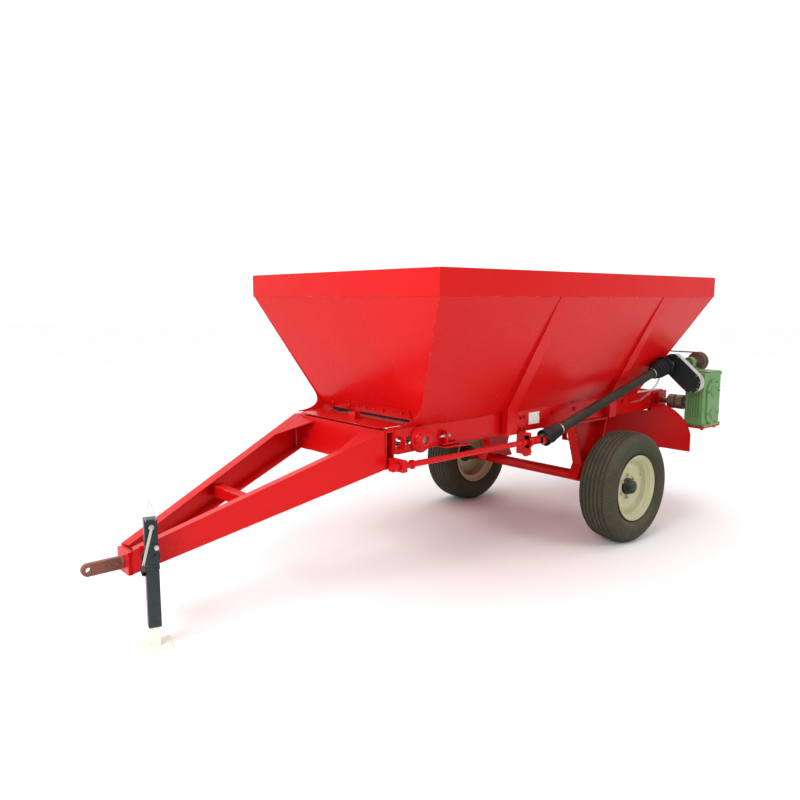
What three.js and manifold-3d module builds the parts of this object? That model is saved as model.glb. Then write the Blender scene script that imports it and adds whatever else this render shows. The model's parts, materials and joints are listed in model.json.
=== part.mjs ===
// Trailed hopper spreader: a steel hopper with a chain floor on a two-wheel drawbar chassis.
// Millimetres, +X to the rear (hitch at -X), +Y to the machine's right, +Z up.
// Every place below is first given from the axle: x = 0 at the axle, y = 0 on the
// centre line, z = 0 on the ground. The whole group is shifted at the end.
import * as THREE from 'three';
import { mergeVertices } from 'three/addons/utils/BufferGeometryUtils.js';
import Module from 'manifold-3d';

const wasm = await Module();
wasm.setup();

// ---------- driving dimensions ----------
const GAP = 0.3;                 // air left between touching pieces
const SHEET = 4;                 // hopper sheet thickness
const PLATE = 6;                 // frame plate thickness

const hopper = {
  halfWidth: 889,                // outside of the rim
  front: -1920,
  rear: 872,
  top: 1811,
  bandHeight: 142,
  bandSheet: 5,
  lipWidth: 38,
  footHalf: 449.5,               // outer faces of the walls where they meet the rails
  footFront: -1647,
  footRear: 613.4,
  frontSill: 976,                // lower edge of the front wall
  slotHalfWidth: 377,
  flareHeight: 125,              // curved foot at the front of each side wall
  cornerPlay: 1,                 // air between end walls and side walls
};

const gate = {
  openingTop: 1190,
  halfWidth: 340,                // of the opening
  overlap: 44,                   // sheet beyond the opening at each side
  standOff: 2,
  thickness: 8,
  low: 963,
  high: 1250,
  handleHalf: 110,
  handleReach: 50,
  handleHeight: 16,
  guideBelow: 189,               // guide's top below the rim band
  guideDepth: 22,
  guideWidth: 36,
  guideInset: 24,
};

const rib = {
  places: [{ x: -950, width: 100 }, { x: 171, width: 85 }],
  footY: 500,
  shoulderRise: 35,              // above the rail
  shoulderOut: 38,               // beyond the wall's skin
  headOut: 4,
  headFill: 120,                 // solid length below the rim
};

const strip = { below: 8, height: 62, thickness: 4, standOff: 1.5, overhang: 22 };
const stripBolt = { count: 5, pitch: 165, rise: 36, radius: 9, length: 10 };

const rail = {
  top: 945,
  height: 140,
  outer: 447,
  flange: 60,
  front: -1834,
  rear: 1000,
  doublerTop: -1090,             // rear end of the doubling plate, along its top
  doublerBottom: -1010,
  ledgeRear: -1360,
  ledgeWidth: 72,
  ledgePlay: 8,                  // between the ledge and the take-up bearing drawn right back
};

const crossbeam = { front: -1894, width: 59, bottom: 726, wall: 8, earHalf: 30 };
const beamBolt = { y: 330, low: 792, high: 892, radius: 11, length: 9 };
const deck = { rear: -1700, inset: 64, lugX: -1790, lugY: -32, lugHalf: 20, lugLength: 30, lugHeight: 42 };

const drawbar = {
  noseX: -3189,
  noseHalfWidth: 68,
  noseBottom: 335,
  noseTop: 450,
  nosePlate: 22,
  bossRadius: 34,
  bossLength: 40,
  rearTop: 937,
  web: 7,
  flange: 60,
  flangeThickness: 8,
  start: 24,                     // where an arm begins, measured along it
  tieX: -2600,
  tieSize: 60,
  gussetLength: 250,
  gussetWidth: 190,
};

const eye = {
  length: 186,
  height: 62,
  thickness: 26,
  hole: 14,
  z: 389,
  shank: 19,
  collar: 30,
  neck: 12,                      // collar between the plate and the nose
  nutRadius: 32,
  nutLength: 26,
};

const wheel = {
  radius: 380,
  width: 264,
  rimRadius: 213,
  rimHalfWidth: 110,
  track: 1486,                   // between tyre centres
  hubRadius: 78,
  facets: 32,
};

const axleTube = { radius: 38, spindle: 25, endInset: 92, spindleReach: 20 };
const leg = {
  topHalf: 205,
  waistHalf: 104,
  footHalf: 164,
  waistRise: 120,                // waist above the axle
  width: 76,
  centreY: 430,
  wall: 14,
};

const conveyor = {
  shaftZ: 868,
  idlerX: -1643,
  driveX: 930,
  drum: 49,                      // running radius inside the chain
  play: 1.5,
  strand: 12,                    // chain thickness
  strandWidth: 22,
  strandY: 335,
  slatHalf: 372,
  slatHeight: 18,
  slatWidth: 30,
  slatPitch: 250,
  slatLift: 4,
  shaft: 20,
  boreClearance: 8,
};

// The fixed floor sheet under the chain; it ends clear of the idler at full take-up.
const floor = { halfWidth: 438, below: 4, endPlay: 8 };

const takeUp = { radius: 76, thickness: 40, slotHalf: 24, slotFront: -1826, travel: 60, slotPlay: 4 };
const driveBearing = { radius: 56, thickness: 34, bracket: 8 };
const coupling = { radius: 55, outer: -668, inner: -548, groove: 42, grooveOuter: -614, grooveInner: -602 };

const line = { y: -535, z: 755, radius: 17, front: -1925, rear: -700, bearingX: -760, stub: 26, stubWall: 7 };
const hanger = {
  front: 34,
  thickness: 12,
  housing: 42,
  housingLength: 52,
  boss: 30,
  bossDrop: 66,
  bossShift: 14,
};

const cardan = {
  guard: 33,
  guardWall: 5,
  tube: 22,
  bell: 56,
  bellLength: 120,
  taper: 175,                    // where the guard narrows to its tube, from a joint
};

// Universal joint: two ears stand off a hub on each side, and a cross lies between them.
const yoke = {
  hub: 26,
  reach: 34,                     // outside of the ears from the joint's centre
  ear: 12,                       // ear thickness
  earHalf: 16,
  earFront: 18,
  bridge: 10,
  pin: 9,
  ball: 14,
  ballPlay: 1,
};

const guardChain = {
  radius: 3,
  points: [[580, -648, 1082], [578, -640, 1050], [570, -612, 1000], [556, -570, 950], [538, -520, 905],
    [520, -452, 880]],
};

const chainCase = {
  front: 745,
  depth: 56,
  radius: 78,
  wall: 4,
  upper: { y: -655, z: 1172 },
  lower: { y: -808, z: 1045 },
  cover: 6,
  sprocket: 46,
  sprocketFront: 20,
  sprocketWidth: 14,
  chain: 10,
};

const beltDrive = { x: 1137, width: 50, radius: 75, groove: 11, flange: 7, shaft: 16, shaftEnd: 20 };

const gearbox = {
  front: 840,
  rear: 1100,
  outer: -866,
  inner: -718,
  bottom: 705,
  top: 1110,
  coverRadius: 88,
  coverDepth: 12,
  capRadius: 44,
  capDepth: 22,
  capLow: -66,                   // cap heights from the drive shaft
  capHigh: 102,
  footHeight: 18,
  finCount: 6,
  finPitch: 20,
  finBottom: 770,
  finTop: 985,
  finDepth: 9,
  finWidth: 8,
  inputPad: 40,
  outputPad: 46,
};

const shelf = { front: 900, thickness: 8, reach: 45, blockFront: 980, blockRear: 1040, crown: 40 };
const reducerFoot = { thickness: 12, nutRadius: 14, nutHeight: 14, nutInset: 20 };

const bevelBox = { front: 965, halfWidth: 75, bottom: 1085, top: 1262, rearGap: 6, neck: 46, neckDrop: 14 };
const bevelArm = { low: 1140, high: 1215, thickness: 12, outer: 456, depth: 34, standOff: 1.5 };

const spinner = {
  x: 1170,
  y: 270,
  radius: 250,
  thickness: PLATE,
  z: 532,
  hub: 46,
  hubRise: 26,
  vanes: 4,
  vaneStart: 50,
  vaneHeight: 48,
  vaneLip: 22,
  boxBottom: 440,
  boxTop: 500,
  boxRadius: 70,
  shaftX: 1035,
  shaft: 16,
};

const spinnerTray = { front: 855, halfWidth: 412, thickness: 10, overhang: 60, legLength: 60, legWall: 12 };
const trayNotch = { front: 960, inner: 345 };

const guardPlate = {
  x: 825,
  bottom: 510,
  halfWidth: 785,
  top: 850,
  outerTop: 640,
  shoulderY: 560,
  shoulderDrop: 60,
  middleDrop: 18,
};

const dataPlate = { x: -621, half: 55, low: 102, high: 24, thickness: 2 };

const jack = {
  x: -3094,
  z: 432,                        // swivel height
  side: 60,
  wall: 4,
  play: 2,                       // between leg and tube
  cap: 8,
  collar: 3,
  collarLow: 40,                 // collar below the swivel
  collarHigh: 18,
  swivel: 44,
  swivelDepth: 14,
  pin: 30,
  mountHalf: 48,
  mountPlate: 12,
  standOff: 88,                  // tube axis to the arm's outer face
  top: 632,
  bottom: 106,
  foot: 155,
  footThickness: 10,
  legShort: 70,                  // leg's top below the tube's
};

const crank = {
  drop: 30,                      // pin below the tube's top
  pin: 7,
  bore: 8,
  bar: 14,
  offset: 24,
  reach: 190,
  lean: 14.4,                    // degrees from straight down
  grip: 13,
  gripLength: 81,
};
const crankHood = { half: 14, out: 10, low: 46, high: 14 };

// ---------- derived places ----------
const bandBottom = hopper.top - hopper.bandHeight;
const railBottom = rail.top - rail.height;
const sillZ = rail.top + GAP;                       // where hopper flanges sit
const noseToBeam = crossbeam.front - drawbar.noseX;
const beamSpread = rail.outer - drawbar.noseHalfWidth;
const armAngle = Math.atan2(beamSpread, noseToBeam);
const wheelY = wheel.track / 2;
const degrees = (angle) => angle * 180 / Math.PI;

// Each wall leans from its foot on the rails to the inside of the rim band.
const wallHeight = bandBottom - sillZ;
const bandInset = hopper.bandSheet + GAP;
const sideLean = (hopper.halfWidth - bandInset - hopper.footHalf) / wallHeight;
const frontLean = (hopper.footFront - hopper.front - bandInset) / wallHeight;
const rearLean = (hopper.rear - bandInset - hopper.footRear) / wallHeight;

// y of the hopper side's outer face, x of its front and rear outer faces, at a height
const sideY = (z) => hopper.footHalf + sideLean * (z - sillZ);
const frontX = (z) => hopper.footFront - frontLean * (z - sillZ);
const rearX = (z) => hopper.footRear + rearLean * (z - sillZ);

// ---------- materials ----------
const paint = (color, roughness, metalness) => (
  new THREE.MeshStandardMaterial({ color, roughness, metalness }));
const redPaint = paint(0xc8262a, 0.35, 0.1);
const greenPaint = paint(0x6a895a, 0.5, 0.1);
const creamPaint = paint(0xe9e6c4, 0.45, 0.1);
const whitePaint = paint(0xeceee0, 0.5, 0.1);
const bluePaint = paint(0x3b4552, 0.5, 0.2);
const hubPaint = paint(0x26332c, 0.5, 0.2);
const rubber = paint(0x3a3a33, 0.9, 0);
const beltRubber = paint(0x4a3526, 0.85, 0);
const guardPlastic = paint(0x45463a, 0.6, 0);
const steel = paint(0x9a948a, 0.4, 0.9);
const eyeSteel = paint(0x8f604e, 0.6, 0.6);
const labelWhite = paint(0xe8e8e4, 0.6, 0);

// ---------- solid helpers ----------
function toSolid(geometry) {
  const bare = geometry.index ? geometry.toNonIndexed() : geometry.clone();
  bare.deleteAttribute('normal');
  bare.deleteAttribute('uv');
  const merged = mergeVertices(bare, 1e-4);
  const corners = merged.index.array;
  const kept = [];
  for (let i = 0; i < corners.length; i += 3) {
    const [a, b, c] = [corners[i], corners[i + 1], corners[i + 2]];
    if (a !== b && b !== c && c !== a) kept.push(a, b, c);
  }
  return new wasm.Manifold(new wasm.Mesh({
    numProp: 3,
    vertProperties: new Float32Array(merged.attributes.position.array),
    triVerts: new Uint32Array(kept),
  }));
}

function toGeometry(solid) {
  const mesh = solid.getMesh();
  const geometry = new THREE.BufferGeometry();
  geometry.setAttribute('position', new THREE.BufferAttribute(new Float32Array(mesh.vertProperties), 3));
  geometry.setIndex(new THREE.BufferAttribute(new Uint32Array(mesh.triVerts), 1));
  return geometry;
}

const join = (...solids) => solids.reduce((whole, next) => whole.add(next));
const cut = (body, ...tools) => tools.reduce((left, tool) => left.subtract(tool), body);
const mirrorY = (solid) => solid.mirror([0, 1, 0]);

function shapeOf(points) {
  return new THREE.Shape(points.map(([a, b]) => new THREE.Vector2(a, b)));
}

// An outline drawn on two axes and pulled along the third, from low to high.
function prism(points, plane, low, high, facets = 10) {
  const outline = Array.isArray(points) ? shapeOf(points) : points;
  const geometry = new THREE.ExtrudeGeometry(outline, {
    depth: high - low, bevelEnabled: false, curveSegments: facets,
  });
  const basis = new THREE.Matrix4();
  if (plane === 'xy') {
    basis.makeTranslation(0, 0, low);
  } else if (plane === 'yz') {
    basis.set(0, 0, 1, low, 1, 0, 0, 0, 0, 1, 0, 0, 0, 0, 0, 1);
  } else {
    basis.set(1, 0, 0, 0, 0, 0, -1, high, 0, 1, 0, 0, 0, 0, 0, 1);
  }
  geometry.applyMatrix4(basis);
  return toSolid(geometry);
}

function block(x0, x1, y0, y1, z0, z1) {
  const geometry = new THREE.BoxGeometry(x1 - x0, y1 - y0, z1 - z0);
  geometry.translate((x0 + x1) / 2, (y0 + y1) / 2, (z0 + z1) / 2);
  return toSolid(geometry);
}

// A turn that lays the Y axis along X, and X along Z.
const upToX = new THREE.Matrix4().set(0, 1, 0, 0, 0, 0, 1, 0, 1, 0, 0, 0, 0, 0, 0, 1);

// A round bar along an axis between two stations; the centre gives the other two places.
function rod(axis, radius, low, high, centre, facets = 16) {
  const geometry = new THREE.CylinderGeometry(radius, radius, high - low, facets);
  geometry.translate(0, (low + high) / 2, 0);
  if (axis === 'x') geometry.applyMatrix4(upToX);
  if (axis === 'z') geometry.rotateX(Math.PI / 2);
  const place = { x: [0, centre[0], centre[1]], y: [centre[0], 0, centre[1]], z: [centre[0], centre[1], 0] };
  geometry.translate(...place[axis]);
  return toSolid(geometry);
}

// A turned piece about the Y axis: a closed outline of pairs of radius and station.
function turnedY(profile, centre, facets) {
  const points = [...profile, profile[0]].map(([radius, station]) => new THREE.Vector2(radius, station));
  const geometry = new THREE.LatheGeometry(points, facets);
  geometry.translate(centre[0], 0, centre[1]);
  const solid = toSolid(geometry);
  return solid.volume() < 0 ? toSolid(flipped(geometry)) : solid;
}

function flipped(geometry) {
  const bare = geometry.toNonIndexed();
  const places = bare.attributes.position;
  for (let i = 0; i < places.count; i += 3) {
    const keep = [places.getX(i), places.getY(i), places.getZ(i)];
    places.setXYZ(i, places.getX(i + 1), places.getY(i + 1), places.getZ(i + 1));
    places.setXYZ(i + 1, ...keep);
  }
  return bare;
}

// A ring with two round ends, as a belt or chain has round two wheels of one radius.
function loopShape(a, b, radius) {
  const along = Math.atan2(b[1] - a[1], b[0] - a[0]);
  const shape = new THREE.Shape();
  shape.absarc(b[0], b[1], radius, along - Math.PI / 2, along + Math.PI / 2, false);
  shape.absarc(a[0], a[1], radius, along + Math.PI / 2, along + Math.PI * 1.5, false);
  shape.closePath();
  return shape;
}

function loop(a, b, inner, outer, plane, low, high, facets = 10) {
  const ring = prism(loopShape(a, b, outer), plane, low, high, facets);
  return cut(ring, prism(loopShape(a, b, inner), plane, low - 1, high + 1, facets));
}

const model = new THREE.Group();
const body = new THREE.Group();
model.add(body);

function piece(name, solid, material, parent = body) {
  const mesh = new THREE.Mesh(toGeometry(solid), material);
  mesh.name = name;
  parent.add(mesh);
  return mesh;
}

// ---------- hopper ----------
const beyond = 20;                                  // how far a slab overruns before it is trimmed

// A leaning slab right across the hopper, behind or ahead of a face.
function endSlab(xAt, run) {
  const low = rail.top - beyond;
  const high = bandBottom + beyond;
  return prism([
    [xAt(low), low],
    [xAt(low) + run, low],
    [xAt(high) + run, high],
    [xAt(high), high],
  ], 'xz', -hopper.halfWidth, hopper.halfWidth);
}

const sheetRun = SHEET * Math.hypot(1, sideLean);
const endRun = SHEET * Math.hypot(1, frontLean);
const wallTop = bandBottom - GAP;

// Across the hopper, an end wall fills what the side walls leave, less a clearance.
function endOutline(low, high) {
  const half = (z) => sideY(z) - sheetRun - hopper.cornerPlay;
  return [[-half(low), low], [half(low), low], [half(high), high], [-half(high), high]];
}

const frontWall = endSlab(frontX, endRun).intersect(
  prism(endOutline(hopper.frontSill, wallTop), 'yz', hopper.front - beyond, 0));
piece('hopper_front_wall', frontWall, redPaint);

// A strip that leans with the rear wall, between two distances behind its face.
function alongRear(low, high, near, far, y0, y1) {
  return prism([
    [rearX(low) + near, low],
    [rearX(low) + far, low],
    [rearX(high) + far, high],
    [rearX(high) + near, high],
  ], 'xz', y0, y1);
}

// One guide: a channel that holds the gate's edge against the wall.
function gateGuide() {
  const guideTop = bandBottom - gate.guideBelow;
  const inner = gate.halfWidth + gate.guideInset;
  const outer = inner + gate.guideWidth;
  const channel = alongRear(gate.low + 12, guideTop, -1, gate.guideDepth, inner, outer);
  const pocketDepth = gate.standOff + gate.thickness + 2;
  const pocketEnd = gate.halfWidth + gate.overlap + 2;
  return cut(channel, alongRear(0, guideTop + beyond, GAP, pocketDepth, inner - 1, pocketEnd));
}

function rearWall() {
  const panel = endSlab(rearX, -endRun).intersect(
    prism(endOutline(sillZ + PLATE + GAP, wallTop), 'yz', 0, hopper.rear + beyond));
  const opening = block(0, hopper.rear, -gate.halfWidth, gate.halfWidth, 0, gate.openingTop);
  return join(cut(panel, opening), gateGuide(), mirrorY(gateGuide()));
}

piece('hopper_rear_wall', rearWall(), redPaint);

// The metering gate slides on the rear wall's outer face, between its guides.
function meteringGate() {
  const half = gate.halfWidth + gate.overlap;
  const outer = gate.standOff + gate.thickness;
  const sheet = alongRear(gate.low, gate.high, gate.standOff, outer, -half, half);
  const handleLow = gate.high - 40;
  const handleHigh = handleLow + gate.handleHeight;
  const handle = block(rearX(handleHigh) + gate.standOff + 1, rearX(handleLow) + outer + gate.handleReach,
    -gate.handleHalf, gate.handleHalf, handleLow, handleHigh);
  return join(sheet, handle);
}

piece('metering_gate', meteringGate(), redPaint);

// One side wall: a leaning sheet with a curved foot that runs forward over the deck.
function sideOutline() {
  const curveTop = sillZ + hopper.flareHeight;
  const toe = crossbeam.front + 26;
  const lap = 6;                                    // the foot stands this far ahead of the front wall
  const shape = new THREE.Shape();
  shape.moveTo(rearX(sillZ) - 1, sillZ);
  shape.lineTo(rearX(wallTop) - 1, wallTop);
  shape.lineTo(frontX(wallTop) + 1, wallTop);
  shape.lineTo(frontX(curveTop) - lap, curveTop);
  shape.quadraticCurveTo(frontX(sillZ) - lap, sillZ + 2 * lap, toe, sillZ + PLATE);
  shape.lineTo(toe, sillZ);
  shape.closePath();
  return shape;
}

function sideSlab() {
  return prism([
    [sideY(sillZ) - sheetRun, sillZ],
    [sideY(sillZ), sillZ],
    [sideY(wallTop), wallTop],
    [sideY(wallTop) - sheetRun, wallTop],
  ], 'yz', hopper.front, hopper.rear);
}

// A rib is a folded channel on the wall's outside: shallow at the rim, deep at the rail.
function ribSolid(place) {
  const bite = 2;                                   // how far the rib sinks into the wall's skin
  const footZ = railBottom + 2;
  const shoulderZ = rail.top + rib.shoulderRise;
  const shoulderY = sideY(shoulderZ) + rib.shoulderOut;
  const back = rail.outer + PLATE + GAP;
  const fillZ = wallTop - rib.headFill;
  const outer = [
    [back, footZ],
    [rib.footY, footZ],
    [shoulderY, shoulderZ],
    [sideY(wallTop) + rib.headOut, wallTop],
    [sideY(wallTop) - bite, wallTop],
    [sideY(sillZ) - bite, sillZ],
    [back, sillZ],
  ];
  const inner = [
    [rail.outer - beyond, footZ - bite],
    [rib.footY - SHEET, footZ - bite],
    [shoulderY - SHEET, shoulderZ],
    [sideY(fillZ) + 1, fillZ],
    [sideY(sillZ) - 2 * beyond, sillZ],
  ];
  const end = place.x + place.width;
  return cut(prism(outer, 'yz', place.x, end), prism(inner, 'yz', place.x + SHEET, end - SHEET));
}

function sideWall() {
  const sheet = sideSlab().intersect(prism(sideOutline(), 'xz', 0, hopper.halfWidth));
  const flange = block(frontX(sillZ) + 40, rearX(sillZ) - 6, rail.outer - rail.flange, sideY(sillZ) - 2,
    sillZ, sillZ + PLATE);
  return join(sheet, flange, ...rib.places.map(ribSolid));
}

const rightWall = sideWall();
piece('hopper_right_wall', rightWall, redPaint);
piece('hopper_left_wall', mirrorY(rightWall), redPaint);

function rimRing(low, high, inset) {
  const ring = block(hopper.front, hopper.rear, -hopper.halfWidth, hopper.halfWidth, low, high);
  return cut(ring, block(hopper.front + inset, hopper.rear - inset,
    -hopper.halfWidth + inset, hopper.halfWidth - inset, low - 1, high + 1));
}

piece('hopper_rim', join(
  rimRing(bandBottom, hopper.top, hopper.bandSheet),
  rimRing(hopper.top - hopper.bandSheet, hopper.top, hopper.lipWidth),
), redPaint);

// A bolted strip seals the front wall's foot above the slot.
function frontStrip() {
  const low = hopper.frontSill - strip.below;
  const high = low + strip.height;
  const half = hopper.slotHalfWidth + strip.overhang;
  const face = strip.standOff + strip.thickness;
  const sheet = prism([
    [frontX(low) - face, low],
    [frontX(low) - strip.standOff, low],
    [frontX(high) - strip.standOff, high],
    [frontX(high) - face, high],
  ], 'xz', -half, half);
  const boltZ = low + stripBolt.rise;
  const boltX = frontX(boltZ + stripBolt.radius) - strip.standOff - 1;
  const bolts = [];
  for (let i = 0; i < stripBolt.count; i += 1) {
    const y = (i - (stripBolt.count - 1) / 2) * stripBolt.pitch;
    bolts.push(rod('x', stripBolt.radius, boltX - stripBolt.length, boltX, [y, boltZ], 6));
  }
  return join(sheet, ...bolts);
}

piece('front_strip', frontStrip(), redPaint);

const floorTop = conveyor.shaftZ + conveyor.drum - floor.below;
const floorFront = conveyor.idlerX + takeUp.travel + conveyor.drum + floor.endPlay;
const floorRear = conveyor.driveX - conveyor.drum - floor.endPlay;
const floorSheet = block(floorFront, floorRear, -floor.halfWidth, floor.halfWidth,
  floorTop - PLATE, floorTop);
piece('hopper_floor', floorSheet, redPaint);

// ---------- chassis ----------
function sideRail() {
  const front = rail.front + GAP;
  const inner = rail.outer - rail.flange;
  const web = block(front, rail.rear, rail.outer - PLATE, rail.outer, railBottom, rail.top);
  const upper = block(front, rail.rear, inner, rail.outer, rail.top - PLATE, rail.top);
  const lower = block(front, rail.rear, inner, rail.outer, railBottom, railBottom + PLATE);
  const doubler = prism([
    [front, railBottom],
    [rail.doublerBottom, railBottom + 14],
    [rail.doublerTop, rail.top - 4],
    [front, rail.top - 4],
  ], 'xz', rail.outer - 1, rail.outer + PLATE);
  const ledgeFront = conveyor.idlerX + takeUp.travel + takeUp.radius + rail.ledgePlay;
  const ledge = block(ledgeFront, rail.ledgeRear, rail.outer, rail.outer + rail.ledgeWidth,
    railBottom, railBottom + PLATE);
  const slotEnd = conveyor.idlerX + takeUp.travel + takeUp.slotPlay;
  const through = rail.outer + rail.ledgeWidth;
  const slot = join(
    block(takeUp.slotFront, slotEnd, 0, through, conveyor.shaftZ - takeUp.slotHalf,
      conveyor.shaftZ + takeUp.slotHalf),
    rod('y', takeUp.slotHalf, 0, through, [slotEnd, conveyor.shaftZ]),
  );
  const bore = rod('y', conveyor.shaft + conveyor.boreClearance, 0, through, driveCentre);
  return cut(join(web, upper, lower, doubler, ledge), slot, bore);
}

const driveCentre = [conveyor.driveX, conveyor.shaftZ];
const rightRail = sideRail();
piece('right_rail', rightRail, redPaint);
piece('left_rail', mirrorY(rightRail), redPaint);

// The front crossbeam is a box with its ends open; its left end carries the line shaft's bearing.
function frontCrossbeam() {
  const { front, bottom, wall, earHalf } = crossbeam;
  const back = front + crossbeam.width;
  const top = drawbar.rearTop;
  const outer = block(front, back, -rail.outer, rail.outer, bottom, top);
  const hollow = block(front + wall, back - wall, -rail.outer - 1, rail.outer + 1, bottom + wall, top - wall);
  const ear = block(front + beyond, back - 4, line.y - earHalf, -rail.outer + 2, line.z - earHalf,
    line.z + earHalf + 4);
  const bore = rod('x', line.radius + 2, front, back, [line.y, line.z]);
  const bolts = [];
  [-beamBolt.y, beamBolt.y].forEach((y) => {
    [beamBolt.low, beamBolt.high].forEach((z) => {
      bolts.push(rod('x', beamBolt.radius, front - beamBolt.length, front + 2, [y, z], 6));
    });
  });
  return join(cut(join(cut(outer, hollow), ear), bore), ...bolts);
}

piece('front_crossbeam', frontCrossbeam(), redPaint);

function deckPlate() {
  const top = sillZ + PLATE;
  const half = rail.outer - deck.inset;
  const sheet = block(crossbeam.front + 2, deck.rear, -half, half, sillZ, top);
  const lug = block(deck.lugX - deck.lugHalf, deck.lugX + deck.lugHalf, deck.lugY - deck.lugLength,
    deck.lugY + deck.lugLength, top - 1, top + deck.lugHeight);
  return join(sheet, lug);
}

piece('deck_plate', deckPlate(), redPaint);

// One drawbar arm, drawn along its own length and turned outwards at the nose.
function drawbarArm() {
  const length = Math.hypot(noseToBeam, beamSpread) - PLATE;
  const { start, flange, flangeThickness } = drawbar;
  const top = (s) => drawbar.noseTop + (drawbar.rearTop - drawbar.noseTop) * (s / length);
  const low = (s) => drawbar.noseBottom + (crossbeam.bottom - drawbar.noseBottom) * (s / length);
  const band = (from, below, above, y0, y1) => prism([
    [from, below(from)],
    [length, below(length)],
    [length, above(length)],
    [from, above(from)],
  ], 'xz', y0, y1);
  const web = band(start, low, top, -drawbar.web, 0);
  const upper = band(start, (s) => top(s) - flangeThickness, top, -flange, 0);
  const lower = band(start, low, (s) => low(s) + flangeThickness, -flange, 0);
  const gussetStart = length - drawbar.gussetLength;
  const reach = -flange - drawbar.gussetWidth;
  const gussetPlan = prism([
    [gussetStart, 4 - flange],
    [gussetStart, -10],
    [length, -10],
    [length, reach],
  ], 'xy', 0, hopper.top);
  const gussetBand = band(gussetStart, (s) => top(s) - drawbar.web, (s) => top(s) - 1, reach, -10);
  const gusset = gussetBand.intersect(gussetPlan);
  const turned = join(web, upper, lower, gusset).rotate([0, 0, degrees(armAngle)])
    .translate([drawbar.noseX, drawbar.noseHalfWidth, 0]);
  return turned.intersect(block(drawbar.noseX + drawbar.nosePlate + GAP, crossbeam.front - GAP,
    1, hopper.halfWidth, 0, hopper.top));
}

const rightArm = drawbarArm();
piece('right_drawbar_arm', rightArm, redPaint);
piece('left_drawbar_arm', mirrorY(rightArm), redPaint);

// Half the room between the arms, and the height of their middle, at a place along the drawbar.
const armInnerAt = (x) => drawbar.noseHalfWidth + (x - drawbar.noseX) * Math.tan(armAngle)
  - drawbar.web / Math.cos(armAngle) - GAP;
const noseMiddle = (drawbar.noseBottom + drawbar.noseTop) / 2;
const beamMiddle = (crossbeam.bottom + drawbar.rearTop) / 2;
const armMidAt = (x) => noseMiddle + (beamMiddle - noseMiddle) * (x - drawbar.noseX) / noseToBeam;

// The tie is a channel that opens to the rear.
function drawbarTie() {
  const { tieX, tieSize } = drawbar;
  const half = armInnerAt(tieX) - 2;
  const z = armMidAt(tieX + tieSize / 2);
  const wall = 8;
  const reach = tieSize / 2 - wall;
  return cut(
    block(tieX, tieX + tieSize, -half, half, z - tieSize / 2, z + tieSize / 2),
    block(tieX + wall, tieX + tieSize + 1, -half - 1, half + 1, z - reach, z + reach),
  );
}

piece('drawbar_tie', drawbarTie(), redPaint);

const bossEnd = drawbar.noseX + drawbar.nosePlate + drawbar.bossLength;

function noseBlock() {
  const plate = block(drawbar.noseX, drawbar.noseX + drawbar.nosePlate, -drawbar.noseHalfWidth,
    drawbar.noseHalfWidth, drawbar.noseBottom, drawbar.noseTop);
  const boss = rod('x', drawbar.bossRadius, drawbar.noseX + 2, bossEnd, [0, eye.z]);
  const bore = rod('x', eye.shank + 1, drawbar.noseX - 1, bossEnd + 1, [0, eye.z], 24);
  return cut(join(plate, boss), bore);
}

piece('nose_block', noseBlock(), redPaint);

function hitchEye() {
  const half = eye.height / 2;
  const back = drawbar.noseX - eye.neck;
  const tip = back - eye.length + half;
  const shape = new THREE.Shape();
  shape.absarc(tip, eye.z, half, Math.PI / 2, Math.PI * 1.5, false);
  shape.lineTo(back, eye.z - half);
  shape.lineTo(back, eye.z + half);
  shape.closePath();
  const plate = prism(shape, 'xz', -eye.thickness / 2, eye.thickness / 2, 14);
  const hole = rod('y', eye.hole, -eye.thickness, eye.thickness, [tip, eye.z]);
  const collar = rod('x', eye.collar, back - 3, drawbar.noseX - GAP, [0, eye.z], 24);
  const nutEnd = bossEnd + eye.nutLength;
  const shank = rod('x', eye.shank, back - 2, nutEnd + 12, [0, eye.z], 24);
  const nut = rod('x', eye.nutRadius, bossEnd + GAP, nutEnd, [0, eye.z], 6);
  return join(cut(plate, hole), collar, shank, nut);
}

piece('hitch_eye', hitchEye(), eyeSteel);

// The axle: a round tube with a spindle at each end and a welded leg up to each rail.
function axle() {
  const tubeHalf = wheelY - axleTube.endInset;
  const spindleHalf = wheelY + axleTube.spindleReach;
  const tube = rod('y', axleTube.radius, -tubeHalf, tubeHalf, [0, wheel.radius], 28);
  const spindle = rod('y', axleTube.spindle, -spindleHalf, spindleHalf, [0, wheel.radius], 20);
  const { topHalf, waistHalf, footHalf, wall } = leg;
  const topZ = railBottom - GAP;
  const waistZ = wheel.radius + leg.waistRise;
  const footZ = wheel.radius + wall;
  const y0 = leg.centreY - leg.width / 2;
  const y1 = leg.centreY + leg.width / 2;
  const whole = prism([
    [-topHalf, topZ], [-waistHalf, waistZ], [-footHalf, footZ],
    [footHalf, footZ], [waistHalf, waistZ], [topHalf, topZ],
  ], 'xz', y0, y1);
  const recess = prism([
    [wall - topHalf, topZ - wall], [wall - waistHalf, waistZ],
    [waistHalf - wall, waistZ], [topHalf - wall, topZ - wall],
  ], 'xz', y0 + PLATE, y1 + 1);
  const legSolid = cut(whole, recess);
  return join(tube, spindle, legSolid, mirrorY(legSolid));
}

piece('axle', axle(), redPaint);

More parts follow.
